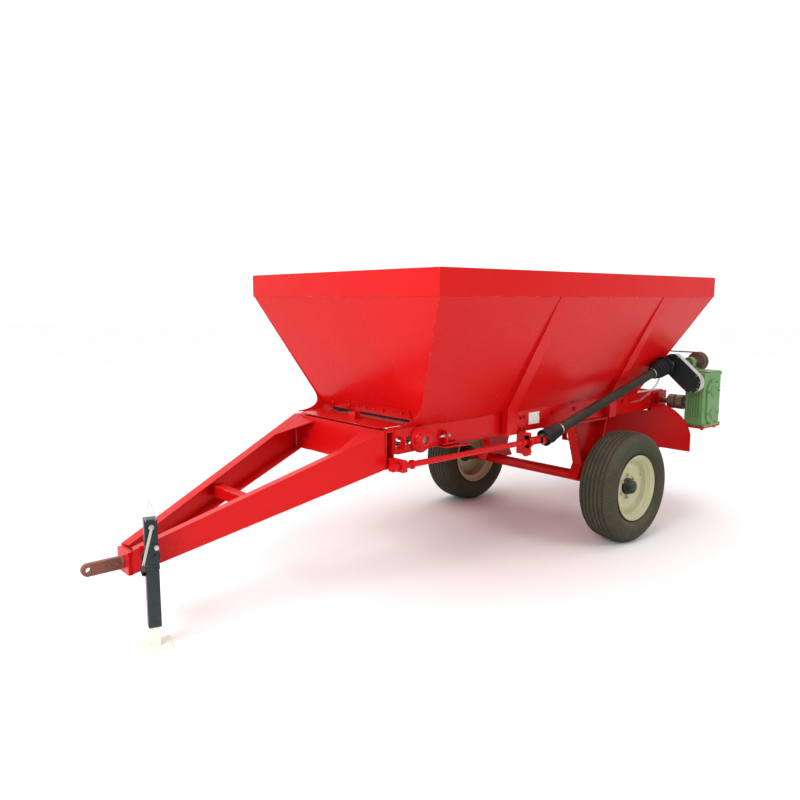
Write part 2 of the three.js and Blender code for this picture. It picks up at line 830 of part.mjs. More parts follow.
// The rear guard stands across the frame between the wheels and the discs.
function rearGuard() {
  const { x, bottom, halfWidth, top } = guardPlate;
  const inner = rail.outer + GAP;
  const wing = new THREE.Shape();
  wing.moveTo(inner, bottom);
  wing.lineTo(halfWidth, bottom);
  wing.lineTo(halfWidth, guardPlate.outerTop);
  wing.quadraticCurveTo(halfWidth - 40, top - guardPlate.shoulderDrop, guardPlate.shoulderY, top);
  wing.lineTo(inner, top);
  wing.closePath();
  const right = prism(wing, 'yz', x, x + PLATE);
  const middle = block(x, x + PLATE, -inner - 1, inner + 1, bottom, railBottom - guardPlate.middleDrop);
  return join(right, mirrorY(right), middle);
}

piece('rear_guard_plate', rearGuard(), redPaint);

// ---------- chain floor ----------
function floorChain() {
  const a = [conveyor.idlerX, conveyor.shaftZ];
  const b = driveCentre;
  const inner = conveyor.drum + conveyor.play;
  const half = conveyor.strandWidth / 2;
  const { strandY } = conveyor;
  const strand = loop(a, b, inner, inner + conveyor.strand, 'xz', strandY - half, strandY + half);
  const parts = [strand, mirrorY(strand)];
  const run = conveyor.driveX - conveyor.idlerX;
  const count = Math.floor(run / conveyor.slatPitch);
  const wide = conveyor.slatWidth / 2;
  const tall = conveyor.slatHeight / 2;
  for (let i = 0; i <= count; i += 1) {
    const x = conveyor.idlerX + i * run / count;
    [1, -1].forEach((side) => {
      const z = conveyor.shaftZ + side * (inner + conveyor.slatLift + tall);
      parts.push(block(x - wide, x + wide, -conveyor.slatHalf, conveyor.slatHalf, z - tall, z + tall));
    });
  }
  return join(...parts);
}

piece('floor_chain', floorChain(), steel);

// A shaft with a running wheel under each strand of the floor chain.
function drumShaft(x, low, high) {
  const centre = [x, conveyor.shaftZ];
  const wheelHalf = conveyor.strandWidth / 2 + 4;
  const bar = rod('y', conveyor.shaft, low, high, centre, 24);
  const drums = [-1, 1].map((side) => rod('y', conveyor.drum, side * conveyor.strandY - wheelHalf,
    side * conveyor.strandY + wheelHalf, centre, 24));
  return join(bar, ...drums);
}

// A round bearing unit on the right side, bored for the shaft from its inner face.
function flangeBearing(x, face, radius, thickness) {
  const centre = [x, conveyor.shaftZ];
  const outer = face + thickness;
  const cup = rod('y', radius, face, outer, centre, 28);
  const nose = rod('y', radius * 0.62, outer - 2, outer + 6, centre, 24);
  return cut(join(cup, nose), rod('y', conveyor.shaft + GAP, face - 1, outer + 2, centre, 24));
}

const bearingFace = rail.outer + PLATE + GAP;
const idlerEnd = bearingFace + takeUp.thickness - 4;
piece('conveyor_idler_shaft', drumShaft(conveyor.idlerX, -idlerEnd, idlerEnd), steel);
const takeUpRight = flangeBearing(conveyor.idlerX, bearingFace, takeUp.radius, takeUp.thickness);
piece('take_up_bearing_right', takeUpRight, redPaint);
piece('take_up_bearing_left', mirrorY(takeUpRight), redPaint);

// The drive shaft runs out through the left rail to the coupling and the reducer.
const bracketFace = rail.outer + GAP;
const bracketOuter = bracketFace + driveBearing.bracket;
const driveRight = flangeBearing(conveyor.driveX, bracketFace, driveBearing.radius, driveBearing.thickness);
piece('drive_bearing_right', driveRight, redPaint);

function driveShaft() {
  const shaft = drumShaft(conveyor.driveX, gearbox.inner + GAP, bracketFace + driveBearing.thickness - 4);
  const sleeve = rod('y', coupling.radius, coupling.outer, coupling.inner, driveCentre, 28);
  const groove = cut(
    rod('y', coupling.radius + 1, coupling.grooveOuter, coupling.grooveInner, driveCentre, 28),
    rod('y', coupling.groove, coupling.grooveOuter - 1, coupling.grooveInner + 1, driveCentre, 28),
  );
  return join(shaft, cut(sleeve, groove));
}

piece('conveyor_drive_shaft', driveShaft(), steel);

function driveBearingLeft() {
  const face = -bracketOuter - GAP;
  const thickness = driveBearing.thickness - 4;
  const cup = rod('y', driveBearing.radius, face - thickness, face, driveCentre, 28);
  return cut(cup, rod('y', conveyor.shaft + GAP, face - thickness - 1, face + 1, driveCentre, 24));
}

piece('drive_bearing_left', driveBearingLeft(), redPaint);

// ---------- drive line ----------
// One half of a universal joint on X: its hub lies towards -X, its ears and pins on Y or Z.
function yokeSolid(hubLength, earAxis) {
  const { reach, ear, earHalf } = yoke;
  const room = reach - ear;
  const hub = rod('x', yoke.hub, -hubLength - reach, -reach, [0, 0], 20);
  const bridge = block(-reach - yoke.bridge, -reach, -reach, reach, -earHalf, earHalf);
  const ears = [
    block(-reach - 4, yoke.earFront, room, reach, -earHalf, earHalf),
    block(-reach - 4, yoke.earFront, -reach, -room, -earHalf, earHalf),
  ];
  const pinStart = yoke.ball + yoke.ballPlay;
  const pins = [
    rod('y', yoke.pin, pinStart, room + 2, [0, 0], 10),
    rod('y', yoke.pin, -room - 2, -pinStart, [0, 0], 10),
  ];
  const solid = join(hub, bridge, ...ears, ...pins);
  return earAxis === 'y' ? solid : solid.rotate([90, 0, 0]);
}

const frontJoint = { x: line.rear + 60, y: line.y, z: line.z };
const rearJoint = { x: 655, y: chainCase.upper.y, z: chainCase.upper.z };
const cardanSpan = new THREE.Vector3(
  rearJoint.x - frontJoint.x,
  rearJoint.y - frontJoint.y,
  rearJoint.z - frontJoint.z,
);
const cardanLength = cardanSpan.length();

function lineShaft() {
  const centre = [line.y, line.z];
  const bar = rod('x', line.radius, line.front, line.rear - beyond, centre, 20);
  const stub = rod('x', line.radius + line.stubWall, line.front, line.front + line.stub, centre, 12);
  return join(bar, stub, yokeSolid(60, 'y').translate([frontJoint.x, frontJoint.y, frontJoint.z]));
}

piece('line_shaft', lineShaft(), redPaint);

function shaftHanger() {
  const x0 = line.bearingX - hanger.front;
  const inner = -rail.outer - GAP;
  const strap = block(x0, x0 + hanger.thickness, line.y - 24, inner, line.z - 84, line.z + 60);
  const tab = block(x0, x0 + 80, inner - hanger.thickness, inner, line.z + 40, rail.top - 6);
  const housing = rod('x', hanger.housing, x0, x0 + hanger.housingLength, [line.y, line.z], 24);
  const bossPlace = [line.y + hanger.bossShift, line.z - hanger.bossDrop];
  const boss = rod('x', hanger.boss, x0 - 2, x0 + 40, bossPlace, 20);
  const bore = rod('x', line.radius + GAP, x0 - 10, x0 + hanger.housingLength + 10, [line.y, line.z], 20);
  return cut(join(strap, tab, housing, boss), bore);
}

piece('shaft_hanger', shaftHanger(), redPaint);

// The cardan shaft and its guard are drawn along X from the front joint, then laid on their line.
const cardanFrame = new THREE.Group();
cardanFrame.position.set(frontJoint.x, frontJoint.y, frontJoint.z);
cardanFrame.quaternion.setFromUnitVectors(new THREE.Vector3(1, 0, 0), cardanSpan.clone().normalize());
body.add(cardanFrame);

// The cross's middle is a ball, so the yokes on both sides turn round it freely.
function crossBall(x) {
  const geometry = new THREE.SphereGeometry(yoke.ball, 16, 10);
  geometry.translate(x, 0, 0);
  return join(toSolid(geometry), rod('z', yoke.pin, -yoke.reach + 2, yoke.reach - 2, [x, 0], 10));
}

function cardanShaft() {
  const front = yokeSolid(40, 'z').mirror([1, 0, 0]);
  const rear = yokeSolid(40, 'z').translate([cardanLength, 0, 0]);
  const bar = rod('x', cardan.tube, 60, cardanLength - 60, [0, 0], 16);
  return join(front, rear, bar, crossBall(0), crossBall(cardanLength));
}

piece('cardan_shaft', cardanShaft(), steel, cardanFrame);

// The guard: a tube with a bell at each end. It does not turn.
function guardProfile() {
  const { bell, guard, guardWall, bellLength, taper } = cardan;
  const end = cardanLength;
  const inner = guard - guardWall;
  const bore = bell - guardWall;
  const mouth = 12;
  return [
    [inner, taper], [bore, 95], [bore, mouth], [bell, mouth], [bell, 92],
    [guard + 12, taper - 7], [guard, taper + 1],
    [guard, end - taper - 1], [guard + 14, end - taper + 7],
    [bell - 12, end - bellLength - 10], [bell, end - bellLength], [bell, end - 8],
    [bore, end - 8], [bore, end - bellLength + 8], [inner, end - taper],
  ];
}

const guardTube = turnedY(guardProfile(), [0, 0], 24).rotate([0, 0, -90]);
piece('cardan_guard', guardTube, guardPlastic, cardanFrame);

// A light chain keeps the guard from turning: from the rear bell down to the rail.
function chainSolid() {
  const curve = new THREE.CatmullRomCurve3(guardChain.points.map((point) => new THREE.Vector3(...point)));
  const wire = new THREE.Shape();
  wire.absarc(0, 0, guardChain.radius, 0, Math.PI * 2, false);
  return toSolid(new THREE.ExtrudeGeometry(wire, {
    steps: 16, curveSegments: 4, extrudePath: curve, bevelEnabled: false,
  }));
}

piece('guard_chain', chainSolid(), steel);

// ---------- chain case, reducer and belt ----------
const caseRear = chainCase.front + chainCase.depth;
const upper = [chainCase.upper.y, chainCase.upper.z];
const lower = [chainCase.lower.y, chainCase.lower.z];
const shaftBore = beltDrive.shaft + 2;

function caseShell() {
  const { front, radius, wall, cover } = chainCase;
  return cut(
    prism(loopShape(lower, upper, radius), 'yz', front + cover, caseRear),
    prism(loopShape(lower, upper, radius - wall), 'yz', front, caseRear - wall),
    rod('x', shaftBore, caseRear - beyond, caseRear + 5, upper),
    rod('x', shaftBore, caseRear - beyond, caseRear + 5, lower),
  );
}

piece('chain_case', caseShell(), steel);

function caseCover() {
  const { front, radius, cover } = chainCase;
  const plate = prism(loopShape(lower, upper, radius), 'yz', front, front + cover - GAP);
  return cut(plate, rod('x', shaftBore, front - 5, front + 10, upper));
}

piece('chain_case_cover', caseCover(), bluePaint);

const sprocketLow = chainCase.front + chainCase.sprocketFront;
const sprocketHigh = sprocketLow + chainCase.sprocketWidth;
const sprocket = (centre) => rod('x', chainCase.sprocket, sprocketLow, sprocketHigh, centre, 24);

function inputShaft() {
  const yokeEnd = yokeSolid(40, 'y').mirror([1, 0, 0]).translate([rearJoint.x, rearJoint.y, rearJoint.z]);
  const end = beltDrive.x + beltDrive.width / 2 + beltDrive.shaftEnd;
  return join(yokeEnd, rod('x', beltDrive.shaft, rearJoint.x + 50, end, upper, 20), sprocket(upper));
}

piece('input_shaft', inputShaft(), steel);
piece('reducer_input_shaft', join(
  rod('x', beltDrive.shaft, sprocketLow - 4, gearbox.front - GAP, lower, 20),
  sprocket(lower),
), steel);
const chainInner = chainCase.sprocket + conveyor.play;
const chainOuter = chainCase.sprocket + chainCase.chain;
const caseChain = loop(lower, upper, chainInner, chainOuter, 'yz', sprocketLow + 1, sprocketHigh - 1);
piece('case_chain', caseChain, steel);

// Upright cooling fins on the front face, below the input shaft.
function reducerFins() {
  const { front, outer, inner, finCount, finPitch, finBottom, finTop, finDepth, finWidth } = gearbox;
  const fins = [];
  for (let i = 0; i < finCount; i += 1) {
    const y = (outer + inner) / 2 + (i - (finCount - 1) / 2) * finPitch;
    fins.push(block(front - finDepth, front + 1, y - finWidth / 2, y + finWidth / 2, finBottom, finTop));
  }
  return fins;
}

function reducer() {
  const { front, rear, outer, inner, bottom, top } = gearbox;
  const box = block(front, rear, outer, inner, bottom, top);
  const middle = (front + rear) / 2;
  const capLow = [middle, conveyor.shaftZ + gearbox.capLow];
  const capHigh = [middle, conveyor.shaftZ + gearbox.capHigh];
  const coverShape = loopShape(capLow, capHigh, gearbox.coverRadius);
  const cover = prism(coverShape, 'xz', outer - gearbox.coverDepth, outer + 2);
  const caps = [capLow, capHigh].map((centre) => (
    rod('y', gearbox.capRadius, outer - gearbox.capDepth, outer, centre, 20)));
  const foot = block(front + 12, rear + 14, outer - 6, inner - 4, bottom, bottom + gearbox.footHeight);
  const inputPad = rod('x', gearbox.inputPad, front - 12, front + 2, lower, 20);
  const outputPad = rod('y', gearbox.outputPad, inner - 2, inner + 12, driveCentre, 20);
  const inputBore = rod('x', beltDrive.shaft + 1, front - beyond, front, lower, 20);
  const outputBore = rod('y', conveyor.shaft + 1, inner, inner + beyond, driveCentre, 24);
  const whole = join(box, cover, ...caps, foot, ...reducerFins(), inputPad, outputPad);
  return cut(whole, inputBore, outputBore);
}

piece('reducer', reducer(), greenPaint);

// The reducer hangs beside the left rail on an angle bracket.
function reducerBracket() {
  const top = gearbox.bottom - GAP;
  const low = top - reducerFoot.thickness;
  const upright = block(gearbox.front, gearbox.rear - 60, -bracketOuter, -bracketFace, low, rail.top - 8);
  const plate = block(gearbox.front, gearbox.rear + 10, gearbox.outer - 4, -bracketFace, low, top);
  const boreRadius = conveyor.shaft + conveyor.boreClearance;
  const bore = rod('y', boreRadius, -bracketOuter - 5, -bracketFace + 5, driveCentre);
  const { nutRadius, nutHeight, nutInset } = reducerFoot;
  const nutPlaces = [gearbox.front + 2 * nutInset, gearbox.rear - 1.5 * nutInset];
  const nuts = nutPlaces.map((x) => (
    rod('z', nutRadius, low - nutHeight, low + 2, [x, gearbox.outer + nutInset], 6)));
  return join(cut(join(upright, plate), bore), ...nuts);
}

piece('reducer_bracket', reducerBracket(), redPaint);

function bearingShelf() {
  const { front, thickness, reach, blockFront, blockRear, crown } = shelf;
  const low = gearbox.top + GAP;
  const [y, z] = upper;
  const plate = block(front, gearbox.rear, gearbox.outer, y + reach, low, low + thickness);
  const housing = block(blockFront, blockRear, y - crown, y + crown, low + thickness - 1, z + 14);
  const top = rod('x', crown, blockFront, blockRear, upper, 24);
  return cut(join(plate, housing, top), rod('x', beltDrive.shaft + GAP, front, gearbox.rear, upper, 20));
}

piece('bearing_shelf', bearingShelf(), greenPaint);

const beltLow = beltDrive.x - beltDrive.width / 2;
const beltHigh = beltDrive.x + beltDrive.width / 2;
const beltZ = chainCase.upper.z;

function pulley(y) {
  const { radius, groove, flange, shaft } = beltDrive;
  const centre = [y, beltZ];
  const rim = rod('x', radius, beltLow, beltHigh, centre, 32);
  const channel = cut(
    rod('x', radius + 5, beltLow + flange, beltHigh - flange, centre, 32),
    rod('x', radius - groove, beltLow, beltHigh, centre, 32),
  );
  return cut(rim, channel, rod('x', shaft + GAP, beltLow - 5, beltHigh + 5, centre, 20));
}

piece('input_pulley', pulley(upper[0]), steel);
piece('drive_belt', loop([upper[0], beltZ], [0, beltZ], beltDrive.radius - beltDrive.groove + conveyor.play,
  beltDrive.radius - 1, 'yz', beltLow + beltDrive.flange + 1, beltHigh - beltDrive.flange - 1), beltRubber);

// ---------- spinner drive ----------
function bevelGearbox() {
  const { front, halfWidth, bottom, top, neck, neckDrop } = bevelBox;
  const rear = beltLow - bevelBox.rearGap;
  const centre = [spinner.shaftX, 0];
  return cut(
    join(
      block(front, rear, -halfWidth, halfWidth, bottom, top),
      rod('z', neck, bottom - neckDrop, bottom + 2, centre, 20),
    ),
    rod('x', beltDrive.shaft + 2, spinner.shaftX + 20, rear + 5, [0, beltZ]),
    rod('z', spinner.shaft + 1, bottom - neckDrop - 1, beltZ - 20, centre),
  );
}

piece('bevel_gearbox', bevelGearbox(), greenPaint);

// The second pulley is fixed on the bevel gearbox's input shaft.
const bevelInput = rod('x', beltDrive.shaft + 1, spinner.shaftX + 24, beltHigh + 16, [0, beltZ], 20);
piece('spinner_pulley', join(pulley(0), bevelInput), steel);
const uprightShaft = rod('z', spinner.shaft, spinner.boxTop + GAP, beltZ - 24, [spinner.shaftX, 0], 20);
piece('spinner_shaft', uprightShaft, steel);

// The bracket's two arms pass outside the gate's guides to a crossbar that carries the bevel gearbox.
function bevelBracket() {
  const { low, high, thickness, outer, depth, standOff } = bevelArm;
  const crossbar = block(bevelBox.front - depth, bevelBox.front - GAP, -outer, outer, low, high);
  const end = bevelBox.front - depth + 4;
  const arm = prism([
    [rearX(low) + standOff, low],
    [end, low],
    [end, high],
    [rearX(high) + standOff, high],
  ], 'xz', outer - thickness, outer);
  return join(crossbar, arm, mirrorY(arm));
}

piece('bevel_bracket', bevelBracket(), redPaint);

function spinnerBox() {
  const { x, y, boxRadius, boxBottom, boxTop } = spinner;
  const tray = prism(loopShape([x, -y], [x, y], boxRadius), 'xy', boxBottom, boxTop);
  const snout = block(spinner.shaftX - 55, x, -boxRadius, boxRadius, boxBottom, boxTop);
  return join(tray, snout);
}

piece('spinner_gear_case', spinnerBox(), greenPaint);

function spinnerFrame() {
  const { front, halfWidth, thickness, legLength, legWall } = spinnerTray;
  const top = spinner.boxBottom - GAP;
  const low = top - thickness;
  const rear = spinner.x + spinnerTray.overhang;
  const tray = block(front, rear, -halfWidth, halfWidth, low, top);
  const hangerLeg = block(front, front + legLength, halfWidth - legWall, halfWidth, low, railBottom - GAP);
  const notch = block(trayNotch.front, rear + 1, trayNotch.inner, halfWidth + 1, low - 1, top + 1);
  return join(cut(tray, notch, mirrorY(notch)), hangerLeg, mirrorY(hangerLeg));
}

piece('spinner_frame', spinnerFrame(), redPaint);

function spinnerDisc(side) {
  const { radius, z, vanes, vaneStart, vaneHeight, vaneLip } = spinner;
  const centre = [spinner.x, side * spinner.y];
  const plate = rod('z', radius, z, z + spinner.thickness, centre, 40);
  const hub = rod('z', spinner.hub, spinner.boxTop + GAP, z + spinner.hubRise, centre, 20);
  const end = radius - 4;
  const bar = block(vaneStart, end, -3, 3, z + 1, z + vaneHeight);
  const lip = block(vaneStart, end, -3, vaneLip, z + vaneHeight - 5, z + vaneHeight);
  const solids = [];
  for (let i = 0; i < vanes; i += 1) {
    solids.push(join(bar, lip).rotate([0, 0, (i + 0.5) * 360 / vanes]).translate([...centre, 0]));
  }
  return join(plate, hub, ...solids);
}

piece('spinner_disc_left', spinnerDisc(-1), steel);
piece('spinner_disc_right', spinnerDisc(1), steel);

// A blank data plate on the left rail.
const plateFace = -rail.outer - GAP;
piece('data_plate', block(
  dataPlate.x - dataPlate.half,
  dataPlate.x + dataPlate.half,
  plateFace - dataPlate.thickness,
  plateFace,
  rail.top - dataPlate.low,
  rail.top - dataPlate.high,
), labelWhite);

// ---------- jack ----------
const jackFrame = new THREE.Group();
const armFaceAt = drawbar.noseHalfWidth + (jack.x - drawbar.noseX) * Math.tan(armAngle);
jackFrame.position.set(
  jack.x - Math.sin(armAngle) * jack.standOff,
  -armFaceAt - Math.cos(armAngle) * jack.standOff,
  0,
);
jackFrame.rotation.z = -armAngle;
body.add(jackFrame);

const tubeHalf = jack.side / 2;
const mountFace = jack.standOff - 1.2;
const mountInner = jack.standOff - jack.mountPlate;
const { mountHalf } = jack;
piece('jack_mount', join(
  block(-mountHalf, mountHalf, mountInner, mountFace, jack.z - mountHalf, jack.z + mountHalf),
  rod('y', jack.pin, tubeHalf + jack.swivelDepth, mountInner + 2, [0, jack.z], 24),
), redPaint, jackFrame);

function jackTube() {
  const { bottom, top, wall, collar, z } = jack;
  const inner = tubeHalf - wall;
  const outer = tubeHalf + collar;
  const tube = block(-tubeHalf, tubeHalf, -tubeHalf, tubeHalf, bottom, top);
  const hollow = block(-inner, inner, -inner, inner, bottom - 1, top - jack.cap);
  const band = block(-outer, outer, -outer, outer, z - jack.collarLow, z - jack.collarHigh);
  const swivel = rod('y', jack.swivel, tubeHalf - 1, tubeHalf + jack.swivelDepth - GAP, [0, z], 24);
  const hood = block(-crankHood.half, crankHood.half, -tubeHalf - crankHood.out, -tubeHalf + 1,
    top - crankHood.low, top - crankHood.high);
  const bore = rod('y', crank.bore, -tubeHalf - 2 * crankHood.out, 0, [0, top - crank.drop], 16);
  return cut(join(cut(join(tube, band), hollow), swivel, hood), bore);
}

piece('jack_tube', jackTube(), bluePaint, jackFrame);

const legHalf = tubeHalf - jack.wall - jack.play;
const footHalf = jack.foot / 2;
piece('jack_leg', join(
  block(-legHalf, legHalf, -legHalf, legHalf, jack.footThickness - 1, jack.top - jack.legShort),
  block(-footHalf, footHalf, -footHalf, footHalf, 0, jack.footThickness),
), whitePaint, jackFrame);

// The crank turns on Y; its arm hangs down, leaning a little forward, with a grip at the end.
function jackCrank() {
  const { reach, lean, bar } = crank;
  const z = jack.top - crank.drop;
  const face = -tubeHalf - crank.offset;
  const half = bar / 2;
  const pin = rod('y', crank.pin, face - 4, -tubeHalf + jack.wall - 2, [0, z], 16);
  const level = block(-reach, PLATE, face - 8, face, -half, half);
  const arm = level.rotate([0, lean - 90, 0]).translate([0, 0, z]);
  const angle = lean * Math.PI / 180;
  const gripCentre = [-reach * Math.sin(angle), z - reach * Math.cos(angle)];
  const grip = rod('y', crank.grip, face - 3 - crank.gripLength, face - 3, gripCentre, 16);
  return join(pin, arm, grip);
}

piece('jack_crank', jackCrank(), steel, jackFrame);

// ---------- wheels ----------
function tyreProfile() {
  const r = wheel.radius;
  const w = wheel.width / 2;
  const bead = wheel.rimRadius + 2;
  const flange = wheel.rimRadius + 20;
  const seat = wheel.rimHalfWidth - 16;
  return [
    [bead, -seat], [flange, -seat], [bead + 34, -w * 0.86], [bead + 78, -w], [r - 44, -w * 0.93],
    [r - 12, -w * 0.66], [r, -w * 0.3], [r, w * 0.3], [r - 12, w * 0.66], [r - 44, w * 0.93], [bead + 78, w],
    [bead + 34, w * 0.86], [flange, seat], [bead, seat],
  ];
}

// The rim: a dished disc behind a stepped barrel. The face is 1 where the dish looks to +Y.
function rimProfile(face) {
  const seat = wheel.rimRadius;
  const lip = seat + 14;
  const half = wheel.rimHalfWidth;
  const dish = face * 18;
  const bore = wheel.hubRadius * 0.72;
  const near = (station) => face * station;
  return [
    [seat, near(half - 14)], [lip, near(half - 8)], [lip, near(half)], [seat - 6, near(half)],
    [seat - 38, near(half - 34)], [seat - 44, dish + face * 14], [bore, dish + face * 8], [bore, dish],
    [seat - 50, dish], [seat - 50, near(30 - half)], [seat - 6, near(-half)], [lip, near(-half)],
    [lip, near(8 - half)], [seat, near(14 - half)],
    [seat - 30, near(44 - half)], [seat - 30, near(half - 48)],
  ];
}

function hubProfile(face) {
  const bore = axleTube.spindle + GAP;
  const flange = wheel.hubRadius;
  const near = (station) => face * station;
  return [
    [bore, near(-60)], [50, near(-60)], [50, near(14)],
    [flange, near(14)], [flange, near(17.5)], [50, near(17.5)],
    [52, near(46)], [44, near(74)], [22, near(88)], [0, near(91)], [0, near(30)], [bore, near(30)],
  ];
}

function addWheel(side, name) {
  const centre = [0, wheel.radius];
  const turned = (profile, facets) => turnedY(profile, centre, facets).translate([0, side * wheelY, 0]);
  piece(`${name}_tyre`, turned(tyreProfile(), wheel.facets), rubber);
  piece(`${name}_rim`, turned(rimProfile(side), wheel.facets), creamPaint);
  piece(`${name}_hub`, turned(hubProfile(side), 24), hubPaint);
}

addWheel(-1, 'left');
addWheel(1, 'right');

// ---------- origin at the bottom centre of the whole object ----------
body.updateMatrixWorld(true);
const bounds = new THREE.Box3().setFromObject(body);
body.position.set(-(bounds.min.x + bounds.max.x) / 2, -(bounds.min.y + bounds.max.y) / 2, -bounds.min.z);

export default model;
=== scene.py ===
# %% [markdown]
# # A trailed hopper spreader, dressed from its frame
#
# The frame holds every steel part at its true size. This notebook gives those parts the
# finish of a used machine: gloss red enamel on folded sheet, dusty rubber, cast iron and
# plated steel. It also models the small things that a frame leaves plain, such as tyre
# ribs, bellows, chain links, bolts and weld beads.

# %% Load the frame
import json
import math
import random

import bmesh
import bpy
from mathutils import Matrix, Vector


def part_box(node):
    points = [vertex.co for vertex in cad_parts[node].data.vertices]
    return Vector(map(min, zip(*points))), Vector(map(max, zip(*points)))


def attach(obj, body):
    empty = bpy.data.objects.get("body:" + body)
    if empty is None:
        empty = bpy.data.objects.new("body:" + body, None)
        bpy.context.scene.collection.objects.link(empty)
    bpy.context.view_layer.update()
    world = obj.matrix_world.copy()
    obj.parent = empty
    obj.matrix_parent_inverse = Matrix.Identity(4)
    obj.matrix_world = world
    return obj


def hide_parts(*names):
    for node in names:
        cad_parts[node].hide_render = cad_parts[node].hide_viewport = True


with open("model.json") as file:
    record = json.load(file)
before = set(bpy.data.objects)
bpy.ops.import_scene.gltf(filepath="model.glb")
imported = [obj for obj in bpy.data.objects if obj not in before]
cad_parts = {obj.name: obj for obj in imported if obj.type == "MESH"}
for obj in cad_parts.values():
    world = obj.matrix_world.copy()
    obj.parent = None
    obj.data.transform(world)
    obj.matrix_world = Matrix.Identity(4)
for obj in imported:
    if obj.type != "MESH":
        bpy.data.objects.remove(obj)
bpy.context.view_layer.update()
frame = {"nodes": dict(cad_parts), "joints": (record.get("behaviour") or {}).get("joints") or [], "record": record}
joints = {joint["name"]: joint for joint in frame["joints"]}
random.seed(11)
print("nodes:", len(frame["nodes"]), "joints:", len(joints))

# %% [markdown]
# ## Camera, light and floor
#
# A machine this long shows most of itself from one front corner, seen from a little
# above the drawbar. The camera could be aimed at a target object, but a heading and a
# pitch are easier to read and to repeat. Soft light comes from large area lamps: the
# bigger the lamp, the softer the edge of every shadow. The floor is plain and pale.

# %% Place the camera
CAMERA_PLACE = Vector((-3.4687, -3.4969, 1.6513))
CAMERA_HEADING = math.radians(48.89)
CAMERA_PITCH = math.radians(-7.70)
FOCAL_LENGTH = 33.34
SENSOR_WIDTH = 36.0


def direction(heading, pitch):
    flat = math.cos(pitch)
    return Vector((flat * math.cos(heading), flat * math.sin(heading), math.sin(pitch)))


camera_data = bpy.data.cameras.new("camera")
camera_data.lens = FOCAL_LENGTH
camera_data.sensor_width = SENSOR_WIDTH
camera = bpy.data.objects.new("camera", camera_data)
camera.location = CAMERA_PLACE
camera.rotation_euler = direction(CAMERA_HEADING, CAMERA_PITCH).to_track_quat("-Z", "Y").to_euler()
bpy.context.scene.collection.objects.link(camera)
bpy.context.scene.camera = camera
print("camera at", tuple(round(v, 2) for v in CAMERA_PLACE))

# %% Light the stage
world = bpy.data.worlds.new("pale_room")
world.use_nodes = True

# The room is white, but its left side is dimmer, so that side's panels read darker.
room = world.node_tree
room_place = room.nodes.new("ShaderNodeTexCoord")
room_parts = room.nodes.new("ShaderNodeSeparateXYZ")
room.links.new(room_place.outputs["Generated"], room_parts.inputs[0])
room_shade = room.nodes.new("ShaderNodeMapRange")
room_shade.interpolation_type = "SMOOTHSTEP"
room_shade.inputs["From Min"].default_value = -0.95
room_shade.inputs["From Max"].default_value = 0.05
room_shade.inputs["To Min"].default_value = 0.55
room_shade.inputs["To Max"].default_value = 1.0
room.links.new(room_parts.outputs["Y"], room_shade.inputs["Value"])
room.links.new(room_shade.outputs["Result"], room.nodes["Background"].inputs["Color"])
world.node_tree.nodes["Background"].inputs["Strength"].default_value = 1.0
bpy.context.scene.world = world
bpy.context.scene.view_settings.view_transform = "Standard"
bpy.context.scene.view_settings.look = "Medium High Contrast"


def area_light(name, place, target, size, power):
    data = bpy.data.lights.new(name, "AREA")
    data.shape = "RECTANGLE"
    data.size, data.size_y = size
    data.energy = power
    lamp = bpy.data.objects.new(name, data)
    lamp.location = place
    lamp.rotation_euler = (Vector(target) - Vector(place)).to_track_quat("-Z", "Y").to_euler()
    bpy.context.scene.collection.objects.link(lamp)
    return lamp


area_light("key", (-5.4, -1.4, 4.2), (-0.4, 0, 1.0), (3.0, 2.0), 130)
area_light("side_strip", (1.8, -5.5, 4.4), (0.9, -0.6, 1.2), (2.2, 0.9), 60)
area_light("top", (0.5, 0.5, 6.0), (0, 0, 0.5), (5.0, 4.0), 50)

# %% Lay the floor
FLOOR_REACH = 60.0
floor_mesh = bpy.data.meshes.new("studio_floor")
floor_bm = bmesh.new()
bmesh.ops.create_grid(floor_bm, x_segments=1, y_segments=1, size=FLOOR_REACH)
floor_bm.to_mesh(floor_mesh)
floor_bm.free()
studio_floor = bpy.data.objects.new("studio_floor", floor_mesh)
bpy.context.scene.collection.objects.link(studio_floor)

# %% [markdown]
# ## Finishes as node groups
#
# Grain, dust and chipped edges turn up on many finishes, so each is one node group with
# named inputs. A group only hands out colours, masks and heights. The shader itself stays
# in the material, where its fixed numbers sit on its own sockets.

# %% Node helpers


def link(tree, source, target):
    tree.links.new(source, target)


def new_group(name, inputs, outputs):
    """A node group with float or colour sockets, and its two end nodes."""
    group = bpy.data.node_groups.new(name, "ShaderNodeTree")
    kinds = {"float": "NodeSocketFloat", "colour": "NodeSocketColor"}
    for label, kind, value in inputs:
        socket = group.interface.new_socket(name=label, in_out="INPUT", socket_type=kinds[kind])
        socket.default_value = value
    for label, kind in outputs:
        group.interface.new_socket(name=label, in_out="OUTPUT", socket_type=kinds[kind])
    start = group.nodes.new("NodeGroupInput")
    end = group.nodes.new("NodeGroupOutput")
    return group, start, end


def noise(tree, scale, detail=3.0, roughness=0.55, vector=None):
    node = tree.nodes.new("ShaderNodeTexNoise")
    node.inputs["Scale"].default_value = scale
    node.inputs["Detail"].default_value = detail
    node.inputs["Roughness"].default_value = roughness
    link(tree, vector or object_coordinates(tree), node.inputs["Vector"])
    return node


def object_coordinates(tree):
    node = tree.nodes.get("place") or tree.nodes.new("ShaderNodeTexCoord")
    node.name = "place"
    return node.outputs["Object"]


